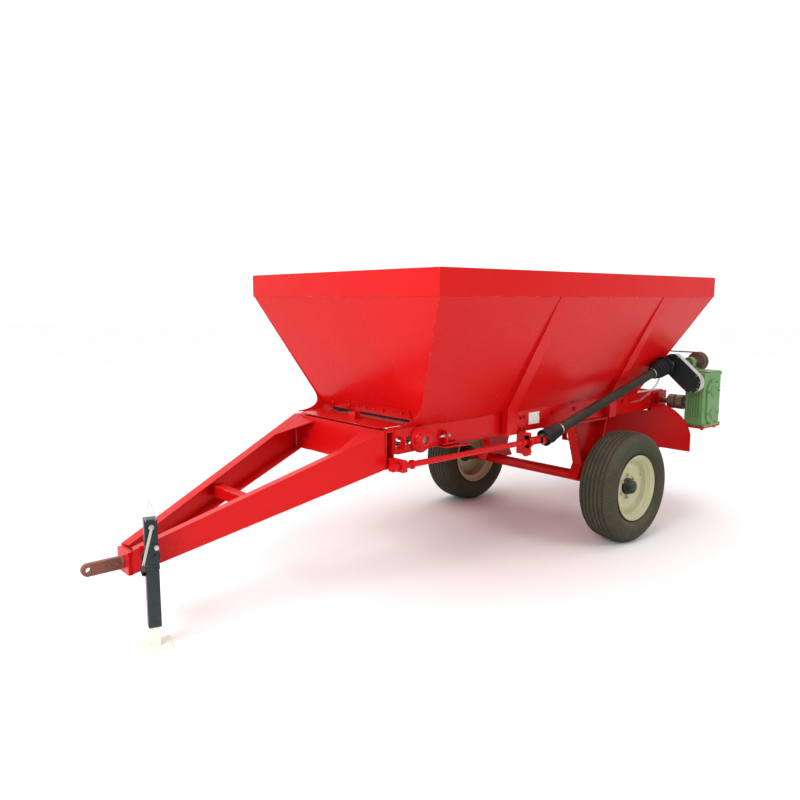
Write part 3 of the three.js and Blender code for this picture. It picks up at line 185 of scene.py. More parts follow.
def math_node(tree, operation, first, second=None, clamp=False):
    node = tree.nodes.new("ShaderNodeMath")
    node.operation = operation
    node.use_clamp = clamp
    for socket, value in zip(node.inputs, (first, second)):
        if value is None:
            continue
        if isinstance(value, (int, float)):
            socket.default_value = value
        else:
            link(tree, value, socket)
    return node.outputs[0]


def band(tree, value, low, high, to_low=0.0, to_high=1.0):
    """Stretches the stretch from low to high of a value over a new range."""
    node = tree.nodes.new("ShaderNodeMapRange")
    node.inputs["From Min"].default_value = low
    node.inputs["From Max"].default_value = high
    node.inputs["To Min"].default_value = to_low
    node.inputs["To Max"].default_value = to_high
    link(tree, value, node.inputs["Value"])
    return node.outputs["Result"]


def colour_mix(tree, factor, first, second):
    """Blends two colours. Only the sockets in use are taken, as their names repeat."""
    node = tree.nodes.new("ShaderNodeMix")
    node.data_type = "RGBA"
    sockets = [s for s in node.inputs if s.enabled]
    for socket, value in zip(sockets, (factor, first, second)):
        if isinstance(value, (int, float)):
            socket.default_value = value
        elif isinstance(value, tuple):
            socket.default_value = value
        else:
            link(tree, value, socket)
    return [s for s in node.outputs if s.enabled][0]


# %% [markdown]
# ### Dust, splashes and chipped edges
#
# Dust settles on faces that look up, and mud is thrown on what is low. The first group
# reads the surface normal and the height for that. The second finds chips: the beveled
# edges of each piece carry an attribute called edge, and noise decides where it shows.

# %% Weathering group
weather, weather_in, weather_out = new_group(
    "weather",
    [("Dust", "float", 0.25), ("Mud", "float", 0.3), ("Chips", "float", 0.5)],
    [("Dirt", "float"), ("Chip", "float"), ("Drift", "float"), ("Grain", "float")],
)
geometry = weather.nodes.new("ShaderNodeNewGeometry")
normal_parts = weather.nodes.new("ShaderNodeSeparateXYZ")
link(weather, geometry.outputs["Normal"], normal_parts.inputs[0])
height_parts = weather.nodes.new("ShaderNodeSeparateXYZ")
link(weather, object_coordinates(weather), height_parts.inputs[0])
patches = noise(weather, 5.0, 6.0, 0.6).outputs["Fac"]
speckle = noise(weather, 120.0, 4.0, 0.7).outputs["Fac"]
looks_up = band(weather, normal_parts.outputs["Z"], 0.2, 1.0)
dusty = math_node(weather, "MULTIPLY", looks_up, band(weather, patches, 0.3, 0.7))
dusty = math_node(weather, "MULTIPLY", dusty, weather_in.outputs["Dust"])
low_down = band(weather, height_parts.outputs["Z"], 1.0, 0.1)
mud_mask = math_node(weather, "MULTIPLY", low_down, band(weather, speckle, 0.48, 0.72))
mud_mask = math_node(weather, "MULTIPLY", mud_mask, weather_in.outputs["Mud"])
link(weather, math_node(weather, "ADD", dusty, mud_mask, clamp=True), weather_out.inputs["Dirt"])
edge = weather.nodes.new("ShaderNodeAttribute")
edge.attribute_name = "edge"
chip_noise = band(weather, noise(weather, 38.0, 5.0, 0.65).outputs["Fac"], 0.56, 0.62)
chip = math_node(weather, "MULTIPLY", edge.outputs["Fac"], chip_noise)
link(weather, math_node(weather, "MULTIPLY", chip, weather_in.outputs["Chips"]), weather_out.inputs["Chip"])
link(weather, noise(weather, 1.6, 3.0, 0.5).outputs["Fac"], weather_out.inputs["Drift"])
link(weather, speckle, weather_out.inputs["Grain"])

# %% [markdown]
# ### Enamel
#
# Machine enamel is a coloured coat with an orange-peel skin. Its colour drifts a little
# from panel to panel, dust lies on top, and bare metal shows where an edge is knocked.
# All the painted finishes share one recipe and differ only in colour and gloss.

# %% Enamel materials
DUST_COLOUR = (0.42, 0.36, 0.30, 1)
PRIMER_COLOUR = (0.30, 0.27, 0.25, 1)


def shader_material(name):
    material = bpy.data.materials.new(name)
    material.use_nodes = True
    tree = material.node_tree
    return material, tree, tree.nodes["Principled BSDF"]


def bump(tree, shader, height, strength, distance):
    node = tree.nodes.new("ShaderNodeBump")
    node.inputs["Strength"].default_value = strength
    node.inputs["Distance"].default_value = distance
    link(tree, height, node.inputs["Height"])
    link(tree, node.outputs["Normal"], shader.inputs["Normal"])


def weather_node(tree, dust, mud, chips):
    node = tree.nodes.new("ShaderNodeGroup")
    node.node_tree = weather
    node.inputs["Dust"].default_value = dust
    node.inputs["Mud"].default_value = mud
    node.inputs["Chips"].default_value = chips
    return node


def enamel(name, colour, faded, roughness=0.32, dust=0.22, mud=0.3, chips=0.8, coat=0.25, peel=0.10,
           specular=0.3):
    material, tree, shader = shader_material(name)
    aging = weather_node(tree, dust, mud, chips)
    base = colour_mix(tree, aging.outputs["Drift"], (*colour, 1), (*faded, 1))
    base = colour_mix(tree, aging.outputs["Dirt"], base, DUST_COLOUR)
    base = colour_mix(tree, aging.outputs["Chip"], base, PRIMER_COLOUR)
    link(tree, base, shader.inputs["Base Color"])
    gloss = band(tree, aging.outputs["Drift"], 0.0, 1.0, roughness - 0.08, roughness + 0.11)
    gloss = math_node(tree, "ADD", gloss, math_node(tree, "MULTIPLY", aging.outputs["Dirt"], 0.6), clamp=True)
    link(tree, gloss, shader.inputs["Roughness"])
    shader.inputs["Coat Weight"].default_value = coat
    shader.inputs["Specular IOR Level"].default_value = specular
    shader.inputs["Coat Roughness"].default_value = 0.18
    skin = noise(tree, 210.0, 2.0, 0.5).outputs["Fac"]
    waves = noise(tree, 2.6, 0.0, 0.4).outputs["Fac"]
    height = math_node(tree, "ADD", math_node(tree, "MULTIPLY", skin, 0.02),
                       math_node(tree, "MULTIPLY", waves, 1.0))
    bump(tree, shader, height, peel, 0.02)
    return material


RED = (0.56, 0.004, 0.006)
RED_FADED = (0.62, 0.009, 0.009)
finishes = {
    "red_paint": enamel("red_enamel", RED, RED_FADED, 0.26, dust=0.08, mud=0.06, coat=0.0, peel=0.14,
                        specular=0.26),
    "green_paint": enamel("green_enamel", (0.13, 0.26, 0.10), (0.17, 0.31, 0.13), 0.42, 0.35, 0.3, 0.5, 0.1),
    "cream_paint": enamel("cream_enamel", (0.58, 0.57, 0.37), (0.50, 0.49, 0.32), 0.4, 0.25, 0.25, 0.5, 0.1),
    "white_paint": enamel("white_enamel", (0.86, 0.87, 0.78), (0.80, 0.81, 0.72), 0.45, 0.1, 0.12, 0.8, 0.1),
    "blue_paint": enamel("blue_black_enamel", (0.016, 0.024, 0.030), (0.030, 0.050, 0.048), 0.38, 0.1, 0.08,
                         0.9, 0.2),
    "hub_paint": enamel("dark_green_enamel", (0.014, 0.022, 0.017), (0.02, 0.03, 0.022), 0.4, 0.3, 0.4, 0.6,
                        0.2),
}
print("enamels:", sorted(finishes))

# %% [markdown]
# ### Rubber, plastic and bare metal
#
# Tyre rubber is nearly black under a tan dust that fills its grooves. Moulded guard
# plastic is smoother and a little greasy. Plated steel is metallic, with cloudy zinc and
# a breath of rust. Each is its own recipe, because their roughness behaves differently.

# %% Rubber and plastic


def rubber(name, colour, dusty_colour, dust=0.6, grain_height=0.25):
    material, tree, shader = shader_material(name)
    aging = weather_node(tree, 0.25, 0.15, 0.0)
    cloud = noise(tree, 9.0, 5.0, 0.6).outputs["Fac"]
    amount = math_node(tree, "MULTIPLY", band(tree, cloud, 0.3, 0.7, 0.35, 1.0), dust)
    base = colour_mix(tree, amount, (*colour, 1), (*dusty_colour, 1))
    base = colour_mix(tree, aging.outputs["Dirt"], base, DUST_COLOUR)
    link(tree, base, shader.inputs["Base Color"])
    link(tree, band(tree, cloud, 0.2, 0.8, 0.72, 0.95), shader.inputs["Roughness"])
    bump(tree, shader, noise(tree, 300.0, 2.0, 0.6).outputs["Fac"], grain_height, 0.002)
    return material


finishes["tyre"] = rubber("tyre_rubber", (0.032, 0.032, 0.022), (0.092, 0.092, 0.048), 0.55)
finishes["belt"] = rubber("belt_rubber", (0.030, 0.018, 0.012), (0.14, 0.075, 0.045), 0.7)
finishes["guard_plastic"] = rubber("guard_plastic", (0.022, 0.023, 0.016), (0.060, 0.060, 0.036), 0.35, 0.08)
finishes["black_plastic"] = rubber("black_plastic", (0.006, 0.007, 0.010), (0.022, 0.024, 0.030), 0.3, 0.08)
finishes["label"] = enamel("plain_plate", (0.80, 0.80, 0.77), (0.74, 0.74, 0.70), 0.5, 0.1, 0.2, 0.2, 0.0)

# %% Plated and forged steel


def bare_metal(name, colour, rust, rust_amount=0.35, roughness=0.38, metallic=0.9, pitting=0.2):
    material, tree, shader = shader_material(name)
    cloud = noise(tree, 26.0, 5.0, 0.6).outputs["Fac"]
    rusty = math_node(tree, "MULTIPLY", band(tree, cloud, 0.5, 0.68), rust_amount)
    base = colour_mix(tree, rusty, (*colour, 1), (*rust, 1))
    aging = weather_node(tree, 0.4, 0.3, 0.0)
    base = colour_mix(tree, aging.outputs["Dirt"], base, DUST_COLOUR)
    link(tree, base, shader.inputs["Base Color"])
    link(tree, band(tree, rusty, 0.0, 0.6, metallic, 0.1), shader.inputs["Metallic"])
    link(tree, band(tree, cloud, 0.3, 0.7, roughness - 0.06, roughness + 0.18), shader.inputs["Roughness"])
    bump(tree, shader, noise(tree, 160.0, 4.0, 0.7).outputs["Fac"], pitting, 0.002)
    return material


RUST = (0.20, 0.075, 0.03)
finishes["steel"] = bare_metal("plated_steel", (0.55, 0.53, 0.49), RUST)
finishes["eye_steel"] = bare_metal("forged_steel", (0.22, 0.10, 0.075), (0.30, 0.075, 0.05), 0.8, 0.5, 0.35,
                                   0.5)
finishes["worn_steel"] = bare_metal("worn_steel", (0.30, 0.27, 0.24), RUST, 0.8, 0.45, 0.7, 0.5)

floor_material, floor_tree, floor_shader = shader_material("pale_floor")
floor_tint = noise(floor_tree, 0.8, 2.0, 0.5).outputs["Fac"]
link(floor_tree, colour_mix(floor_tree, floor_tint, (0.90, 0.90, 0.90, 1), (0.93, 0.93, 0.93, 1)),
     floor_shader.inputs["Base Color"])
floor_shader.inputs["Roughness"].default_value = 0.9
floor_shader.inputs["Specular IOR Level"].default_value = 0.1
floor_mesh.materials.append(floor_material)
print("finishes:", len(finishes))

# %% [markdown]
# ## Modelling helpers
#
# Every piece starts from a bmesh primitive, moved and stretched into place, or from a few
# points that are spun or extruded. A finished piece keeps its place in its mesh, so that
# patterns on object coordinates stay still and every object sits at the origin.

# %% Shapes in a bmesh
X_AXIS, Y_AXIS, Z_AXIS = Vector((1, 0, 0)), Vector((0, 1, 0)), Vector((0, 0, 1))


def add_box(bm, low, high):
    low, high = Vector(low), Vector(high)
    size = high - low
    place = Matrix.Translation((low + high) / 2) @ Matrix.Diagonal((*size, 1))
    return bmesh.ops.create_cube(bm, size=1, matrix=place)["verts"]


def along(start, finish):
    """The placement of a unit shape that stands on Z between two points."""
    start, finish = Vector(start), Vector(finish)
    turn = (finish - start).to_track_quat("Z", "Y").to_matrix().to_4x4()
    return Matrix.Translation((start + finish) / 2) @ turn, (finish - start).length


def add_bar(bm, start, finish, radius, sides=24, end_radius=None):
    place, length = along(start, finish)
    tip = radius if end_radius is None else end_radius
    return bmesh.ops.create_cone(bm, cap_ends=True, cap_tris=False, segments=sides, radius1=radius,
                                 radius2=tip,
                                 depth=length, matrix=place)["verts"]


def add_ball(bm, centre, radius, rings=10):
    place = Matrix.Translation(Vector(centre))
    return bmesh.ops.create_uvsphere(bm, u_segments=2 * rings, v_segments=rings, radius=radius,
                                     matrix=place)["verts"]


def add_bolt(bm, place, outwards, across=0.018, height=0.010, washer=True):
    """A hexagon head on its washer, standing out of a face."""
    place, outwards = Vector(place), Vector(outwards).normalized()
    base = place
    if washer:
        add_bar(bm, place - outwards * 0.001, place + outwards * 0.002, across * 0.80, 20)
        base = place + outwards * 0.002
    add_bar(bm, base, base + outwards * height, across / math.sqrt(3), 6)
    add_bar(bm, base + outwards * height * 0.98, base + outwards * (height + 0.0015), across * 0.36, 12)


def add_turned(bm, profile, centre, axis, steps=48, closed=True):
    """Spins an outline of (radius, station) pairs round an axis through centre."""
    axis = Vector(axis).normalized()
    centre = Vector(centre)
    side = axis.orthogonal().normalized()
    verts = [bm.verts.new(centre + side * radius + axis * station) for radius, station in profile]
    edges = [bm.edges.new(pair) for pair in zip(verts, verts[1:])]
    if closed:
        edges.append(bm.edges.new((verts[-1], verts[0])))
    bmesh.ops.spin(bm, geom=verts + edges, cent=centre, axis=axis, dvec=(0, 0, 0), angle=math.tau,
                   steps=steps,
                   use_merge=True, use_duplicate=False)
    return verts


def arc(centre, radius, start, stop, count):
    """Points on an arc in a plane, for profiles; the angles are in degrees."""
    turns = [math.radians(start + (stop - start) * i / count) for i in range(count + 1)]
    return [(centre[0] + radius * math.cos(a), centre[1] + radius * math.sin(a)) for a in turns]


def add_slab(bm, outline, origin, across, up, depth):
    """Fills an outline drawn on two directions and extrudes it along the third."""
    across, up, origin = Vector(across), Vector(up), Vector(origin)
    verts = [bm.verts.new(origin + across * a + up * b) for a, b in outline]
    face = bm.faces.new(verts)
    result = bmesh.ops.extrude_face_region(bm, geom=[face])
    moved = [v for v in result["geom"] if isinstance(v, bmesh.types.BMVert)]
    bmesh.ops.translate(bm, verts=moved, vec=Vector(depth))
    return verts + moved


def add_path(bm, points, radius, sides=8):
    """A round bar through a list of points, with a ball at each bend."""
    for first, second in zip(points, points[1:]):
        add_bar(bm, first, second, radius, sides)
    for point in points[1:-1]:
        add_ball(bm, point, radius * 1.01, 4)


# %% Finish a piece
SMOOTH_ANGLE = math.radians(38)


def soften_edges(bm, width, segments=2, limit=28.0):
    """Bevels the hard edges and marks the new faces with the edge attribute."""
    mark = bm.faces.layers.float.get("edge") or bm.faces.layers.float.new("edge")
    hard = [e for e in bm.edges if len(e.link_faces) == 2 and e.calc_face_angle(0) > math.radians(limit)]
    result = bmesh.ops.bevel(bm, geom=hard, offset=width, offset_type="OFFSET", segments=segments,
                             profile=0.5,
                             affect="EDGES", clamp_overlap=True, material=-1)
    for face in result["faces"]:
        face[mark] = 1.0


def finish_piece(name, bm, body, slot, nodes=(), material=None, smooth=SMOOTH_ANGLE):
    bmesh.ops.recalc_face_normals(bm, faces=bm.faces)
    for face in bm.faces:
        face.smooth = True
    for e in bm.edges:
        e.smooth = len(e.link_faces) == 2 and e.calc_face_angle(0) < smooth
    mesh = bpy.data.meshes.new(name)
    bm.to_mesh(mesh)
    bm.free()
    piece = bpy.data.objects.new(name, mesh)
    bpy.context.scene.collection.objects.link(piece)
    mesh.materials.append(material or finishes[slot])
    weighted = piece.modifiers.new("flat_faces_first", "WEIGHTED_NORMAL")
    weighted.keep_sharp = True
    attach(piece, body)
    if nodes:
        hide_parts(*nodes)
    return piece


BODY_OF = {}
for body_name, node_names in frame["record"]["behaviour"]["bodies"].items():
    for node_name in node_names:
        BODY_OF[node_name] = body_name
SLOT_OF = {part["node"]: part["material_slot"] for part in frame["record"]["subparts"]}


def dressed_copy(node, width):
    """A copy of a frame node with its triangles merged into faces and its edges rounded."""
    bm = bmesh.new()
    bm.from_mesh(frame["nodes"][node].data)
    bmesh.ops.remove_doubles(bm, verts=bm.verts, dist=1e-5)
    bmesh.ops.dissolve_limit(bm, angle_limit=math.radians(1.0), verts=bm.verts, edges=bm.edges)
    soften_edges(bm, width)
    return finish_piece(f"{node}_dressed", bm, BODY_OF[node], SLOT_OF[node], [node])


def span(node):
    """Lowest corner, highest corner and centre of a frame node."""
    low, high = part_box(node)
    return low, high, (low + high) / 2


# %% [markdown]
# ## Sheet, rails and drawbar
#
# The frame gives these parts their exact outlines, so they are copied, their loose
# triangles merged into whole faces, and their edges rounded by a millimetre or two. The
# rounding is what catches the light on real folded sheet and rolled bar.

# %% Round the plain steelwork
EDGE_WIDTHS = {
    "hopper_front_wall": 0.0010, "hopper_rear_wall": 0.0010, "hopper_left_wall": 0.0012,
    "hopper_right_wall": 0.0012, "hopper_rim": 0.0022, "front_strip": 0.0010,
    "hopper_floor": 0.0010, "metering_gate": 0.0015, "left_rail": 0.0018,
    "right_rail": 0.0018, "front_crossbeam": 0.0022, "deck_plate": 0.0018,
    "left_drawbar_arm": 0.0022, "right_drawbar_arm": 0.0022, "drawbar_tie": 0.0022,
    "nose_block": 0.0025, "axle": 0.0020, "rear_guard_plate": 0.0015,
    "drive_bearing_left": 0.0025, "drive_bearing_right": 0.0025, "reducer_bracket": 0.0020,
    "bevel_bracket": 0.0020, "bevel_gearbox": 0.0060, "spinner_gear_case": 0.0080,
    "spinner_frame": 0.0020, "data_plate": 0.0005, "jack_mount": 0.0020,
    "chain_case": 0.0015, "spinner_shaft": 0.0010, "hitch_eye": 0.0035,
    "jack_leg": 0.0020, "jack_tube": 0.0035,
}
for node, width in EDGE_WIDTHS.items():
    dressed_copy(node, width)
print("rounded nodes:", len(EDGE_WIDTHS))

# %% [markdown]
# ## Wheels
#
# The tyre is a low-pressure implement tyre with ribs round the tread. It could be
# a turned outline with grooves cut in, but the ribs weave a little, so each ring of the tread is
# laid by a formula: the outline gives the radius and the relief sinks it inside a groove.

# %% Tyre
TREAD_GROOVES = (-0.076, -0.046, -0.0155, 0.0155, 0.046, 0.076)
TYRE_STEPS, ZIGZAGS = 264, 44
TYRE_HALF_OUTLINE = [(0.2165, 0.094), (0.233, 0.0955), (0.249, 0.110), (0.272, 0.126), (0.300, 0.1315),
                     (0.328, 0.126), (0.350, 0.114), (0.366, 0.096), (0.3735, 0.078), (0.3775, 0.050),
                     (0.3795, 0.020)]


def smooth_line(points, per_span):
    """A curve through points, each stretch bent by its neighbours."""
    points = [Vector(p) for p in points]
    ends = [2 * points[0] - points[1]] + points + [2 * points[-1] - points[-2]]
    curve = []
    for p0, p1, p2, p3 in zip(ends, ends[1:], ends[2:], ends[3:]):
        for i in range(per_span):
            t = i / per_span
            curve.append(0.5 * (2 * p1 + (p2 - p0) * t + (2 * p0 - 5 * p1 + 4 * p2 - p3) * t * t
                                + (3 * p1 - p0 - 3 * p2 + p3) * t ** 3))
    return curve + [points[-1]]


def tyre_relief(radius, station, turn):
    """How deep the rubber lies below its outline."""
    weave = 0.0016 * (abs((turn * ZIGZAGS / math.tau) % 1 - 0.5) * 4 - 1)
    if radius > 0.364:
        near = min(abs(station - groove - weave) for groove in TREAD_GROOVES)
        return 0.0075 * max(0.0, min(1.0, (0.0062 - near) / 0.0022))
    if radius > 0.340:
        notch = (turn * 2 * ZIGZAGS / math.tau) % 1
        return 0.0022 if notch < 0.30 else 0.0
    ring = (radius - 0.25) / 0.0125
    return 0.0009 * (0.5 - 0.5 * math.cos(math.tau * ring)) if 0.25 < radius < 0.325 else 0.0


def lay_rings(bm, centre, outline, relief, steps, inner):
    """Rings round Y through an outline of (radius, station), closed by a plain inner band."""
    rings = []
    for i in range(steps):
        turn = math.tau * i / steps
        spoke = Vector((math.cos(turn), 0, math.sin(turn)))
        ring = []
        for radius, station in outline:
            depth = relief(radius, station, turn)
            ring.append(bm.verts.new(centre + spoke * (radius - depth) + Y_AXIS * station))
        for radius, station in inner:
            ring.append(bm.verts.new(centre + spoke * radius + Y_AXIS * station))
        rings.append(ring)
    for first, second in zip(rings, rings[1:] + rings[:1]):
        for j in range(len(first)):
            k = (j + 1) % len(first)
            bm.faces.new((first[j], first[k], second[k], second[j]))


def build_tyre(name, centre):
    half = smooth_line(TYRE_HALF_OUTLINE, 3)
    crown = [(0.3797 - 0.35 * (s / 1000) ** 2, s / 1000) for s in range(18, -19, -3)]
    outline = [tuple(p) for p in half] + crown + [(p[0], -p[1]) for p in reversed(half)]
    fine = []
    for (r0, s0), (r1, s1) in zip(outline, outline[1:]):
        pieces = max(1, math.ceil(abs(s1 - s0) / 0.0022)) if r0 > 0.36 else 1
        fine += [(r0 + (r1 - r0) * i / pieces, s0 + (s1 - s0) * i / pieces) for i in range(pieces)]
    fine.append(outline[-1])
    bm = bmesh.new()
    lay_rings(bm, centre, fine, tyre_relief, TYRE_STEPS, [(0.2165, -0.05), (0.2165, 0.05)])
    return finish_piece(f"{name}_tyre_ribbed", bm, f"{name}_wheel", "tyre", [f"{name}_tyre"],
                        smooth=math.radians(30))


# %% [markdown]
# The rim is rolled from one band: a curled flange, a seat for the bead, a deep well and a
# pressed disc welded inside it. The disc is bolted to the hub with six nuts. The valve
# sits in a slot near the well. The hub is a turned casting with a pressed dust cap.

# %% Rim and hub
NUTS_PER_WHEEL = 6
NUT_CIRCLE = 0.068


def rim_outline(face):
    lip = arc((0.2205, 0.1035), 0.0060, 100, -70, 7)
    barrel = [(0.2135, 0.098), (0.2075, 0.096), (0.2060, 0.091), (0.2020, 0.089), (0.2000, 0.080),
              (0.1955, 0.077),
              (0.1935, 0.068), (0.1890, 0.065), (0.1860, 0.056), (0.1815, 0.052), (0.1800, 0.040)]
    disc = [(0.172, 0.033), (0.160, 0.0375), (0.140, 0.0385), (0.128, 0.034), (0.112, 0.0285),
            (0.058, 0.0265),
            (0.058, 0.0185), (0.112, 0.0205), (0.128, 0.026), (0.140, 0.0305), (0.160, 0.0295), (0.172,
                                                                                                 0.025)]
    back = [(0.180, 0.018), (0.180, -0.062), (0.187, -0.072), (0.205, -0.080), (0.208, -0.092),
            (0.2135, -0.097)]
    far_lip = arc((0.2205, -0.1035), 0.0060, 70, -100, 7)
    outside = [(0.2145, -0.0965), (0.2125, -0.084), (0.190, -0.068), (0.184, -0.058), (0.184, 0.058),
               (0.190, 0.068), (0.2125, 0.084), (0.2145, 0.0965)]
    return [(r, face * s) for r, s in lip + barrel + disc + back + far_lip + outside]


def build_rim(name, centre, face):
    bm = bmesh.new()
    add_turned(bm, rim_outline(face), centre, Y_AXIS, 96)
    outwards = Y_AXIS * face
    weld = [(0.1795 + 0.004 * math.cos(a), face * (0.0385 + 0.004 * math.sin(a)))
            for a in (math.tau * i / 6 for i in range(6))]
    add_turned(bm, weld, centre, Y_AXIS, 96)
    for angle in (0.4, 0.4 + math.pi):
        spoke = Vector((math.cos(angle), 0, math.sin(angle)))
        add_bar(bm, centre + spoke * 0.166 + outwards * 0.036, centre + spoke * 0.150 + outwards * 0.060,
                0.0045, 12)
    return finish_piece(f"{name}_rim_pressed", bm, f"{name}_wheel", "cream_paint", [f"{name}_rim"],
                        smooth=math.radians(35))


def build_hub(name, centre, face):
    bm = bmesh.new()
    outline = [(0.0255, -0.060), (0.050, -0.060), (0.052, -0.052), (0.052, 0.008), (0.078, 0.012),
               (0.078, 0.0178),
               (0.056, 0.0180), (0.056, 0.044), (0.0535, 0.050), (0.047, 0.052), (0.0455, 0.058), (0.0455,
                                                                                                   0.074),
               (0.040, 0.083), (0.028, 0.0885), (0.012, 0.0905), (0.0, 0.091), (0.0, 0.030), (0.0255, 0.030)]
    add_turned(bm, [(r, face * s) for r, s in outline], centre, Y_AXIS, 64)
    bmesh.ops.remove_doubles(bm, verts=bm.verts, dist=1e-6)
    return finish_piece(f"{name}_hub_turned", bm, f"{name}_wheel", "hub_paint", [f"{name}_hub"],
                        smooth=math.radians(35))


def build_nuts(name, centre, face):
    bm = bmesh.new()
    outwards = Y_AXIS * face
    for i in range(NUTS_PER_WHEEL):
        turn = math.tau * (i + 0.5) / NUTS_PER_WHEEL
        spoke = Vector((math.cos(turn), 0, math.sin(turn)))
        base = centre + spoke * (NUT_CIRCLE + 0.012) + outwards * 0.0268
        add_bolt(bm, base, outwards, 0.019, 0.012)
        add_bar(bm, base, base + outwards * 0.020, 0.0055, 14)
    return finish_piece(f"{name}_wheel_nuts", bm, f"{name}_wheel", "cream_paint")


for name, face in (("left", -1), ("right", 1)):
    wheel_centre = span(f"{name}_tyre")[2]
    build_tyre(name, wheel_centre)
    build_rim(name, wheel_centre, face)
    build_hub(name, wheel_centre, face)
    build_nuts(name, wheel_centre, face)
print("wheels dressed at x", round(wheel_centre.x, 3))

# %% [markdown]
# ## Hopper details
#
# Folded sheet is welded along its corners and stitched to the ribs. A weld bead is a row
# of overlapping drops, so it is laid as a bar with a rippled radius. Small rivets sit along
# the strip on the front wall, and a thin black plate in the slot below it is painted shade
# for the dark opening.

# %% Weld beads
AXLE_X = span("axle")[2].x


def at(x, y, z):
    """A place given in millimetres from the point on the ground under the axle."""
    return Vector((AXLE_X + x / 1000, y / 1000, z / 1000))


def add_weld(bm, start, finish, radius=0.0035, ripple=0.009, sides=6):
    """A rippled bead: short rings along a line, swollen at every drop."""
    start, finish = Vector(start), Vector(finish)
    length = (finish - start).length
    place, _ = along(start, finish)
    count = max(4, int(length / ripple * 2))
    rings = []
    for i in range(count + 1):
        swell = radius * (1.0 if i % 2 else 0.72)
        swell *= 0.55 if i in (0, count) else 1.0
        station = -length / 2 + length * i / count
        ring = []
        for k in range(sides):
            turn = math.tau * k / sides
            ring.append(bm.verts.new(place @ Vector((swell * math.cos(turn), swell * math.sin(turn),
                                                     station))))
        rings.append(ring)
    for first, second in zip(rings, rings[1:]):
        for k in range(sides):
            n = (k + 1) % sides
            bm.faces.new((first[k], first[n], second[n], second[k]))
    bm.faces.new(list(reversed(rings[0])))
    bm.faces.new(rings[-1])


BAND_BOTTOM = 1669


def side_y(z):
    return 883.7 - 0.6 * (BAND_BOTTOM - z)


def front_x(z):
    return -1914.7 + 0.37 * (BAND_BOTTOM - z)


def rear_x(z):
    return 866.7 - 0.35 * (BAND_BOTTOM - z)


RIB_PLACES = ((-950, 100), (171, 85))
welds = bmesh.new()
for side in (-1, 1):
    for x_at in (front_x, rear_x):
        inward = 4 if x_at is front_x else -4
        low, high = 985, 1664
        add_weld(welds, at(x_at(low) + inward, side * (side_y(low) - 6), low),
                 at(x_at(high) + inward, side * (side_y(high) - 6), high), 0.0040)
    for x, width in RIB_PLACES:
        for edge_x in (x - 0.5, x + width + 0.5):
            add_weld(welds, at(edge_x, side * (side_y(1000) + 1), 1000),
                     at(edge_x, side * (side_y(1640) + 1), 1640), 0.003)
    for x in range(-1500, 600, 420):
        add_weld(welds, at(x, side * (side_y(955) + 1), 953), at(x + 130, side * (side_y(955) + 1), 953),
                 0.0035)
for x in range(-1780, 760, 330):
    for side in (-1, 1):
        add_weld(welds, at(x, side * 884.5, BAND_BOTTOM - 1), at(x + 90, side * 884.5, BAND_BOTTOM - 1),
                 0.003)
finish_piece("hopper_weld_beads", welds, "root", "red_paint")
print("weld beads laid")

# %% Front strip rivets and painted slot shade
strip_rivets = bmesh.new()
slot_shade_plate = bmesh.new()
for y in (-247.5, -82.5, 82.5, 247.5):
    add_ball(strip_rivets, at(front_x(1004) - 5.5, y, 1004), 0.0065, 8)
finish_piece("front_strip_rivets", strip_rivets, "root", "red_paint")
# A thin black plate set in the slot face: painted shade standing for the dark opening, not a part.
slot_shade_low, slot_shade_high = at(front_x(962) - 1.5, -372, 953), at(front_x(962) + 6, 372, 972)
add_box(slot_shade_plate, slot_shade_low, slot_shade_high)
soften_edges(slot_shade_plate, 0.002, 2)
finish_piece("front_slot_painted_shade", slot_shade_plate, "root", "belt", material=finishes["black_plastic"])

# %% Rim band corner welds
band_details = bmesh.new()
for side in (-1, 1):
    for x in (-1915, 867):
        add_weld(band_details, at(x, side * 884, 1674), at(x, side * 884, 1805), 0.0035)
finish_piece("rim_corner_welds", band_details, "root", "red_paint")

# %% [markdown]
# ## Chassis and drawbar details
#
# The drawbar bolts onto the crossbeam with heavy hexagon heads, and its arms are welded
# to the nose plate. Both rails carry a row of weld beads where the legs of the axle and
# the doubling plates join them.

# %% Crossbeam bolts, rail welds
beam_bolts = bmesh.new()
for y in (-330, 330):
    for z in (792, 892):
        add_bolt(beam_bolts, at(-1903, y, z), (-1, 0, 0), 0.022, 0.004, washer=False)
for side in (-1, 1):
    for x in (-560, -430, -180, 180, 420):
        add_bolt(beam_bolts, at(x, side * 447.2, 900), (0, side, 0), 0.020, 0.010)
finish_piece("frame_bolts", beam_bolts, "root", "red_paint")

frame_welds = bmesh.new()
for side in (-1, 1):
    add_weld(frame_welds, at(-1826, side * 454, 805), at(-1015, side * 454, 819), 0.0035)
    add_weld(frame_welds, at(-1010, side * 450, 822), at(-1088, side * 450, 938), 0.0035)
    add_weld(frame_welds, at(-200, side * 470, 803), at(200, side * 470, 803), 0.0035)
    add_weld(frame_welds, at(-160, side * 469, 396), at(160, side * 469, 396), 0.004)
    add_weld(frame_welds, at(-1893, side * 300, 727), at(-1893, side * 442, 727), 0.004)
    add_weld(frame_welds, at(-3166, side * 70, 340), at(-3166, side * 70, 448), 0.004)
    add_weld(frame_welds, at(-1495, side * 449, 811), at(-1362, side * 449, 811), 0.003)
add_weld(frame_welds, at(-3167, -66, 451), at(-3167, 66, 451), 0.004)
add_weld(frame_welds, at(-1809, -64, 953), at(-1771, -64, 953), 0.003)
finish_piece("frame_weld_beads", frame_welds, "root", "red_paint")

# %% [markdown]
# ## Conveyor: take-up, chain, sprockets
#
# The floor is a bar-and-chain conveyor. Its idler shaft rides in bearings that slide in a
# slot, and a screw behind each bearing sets the tension. Each strand is a real
# chain of links, and its running wheels are toothed sprockets.

# %% Take-up bearing: a flanged housing with a stepped cap
SHAFT_Z = 868
IDLER_X, DRIVE_X = -1643, 930


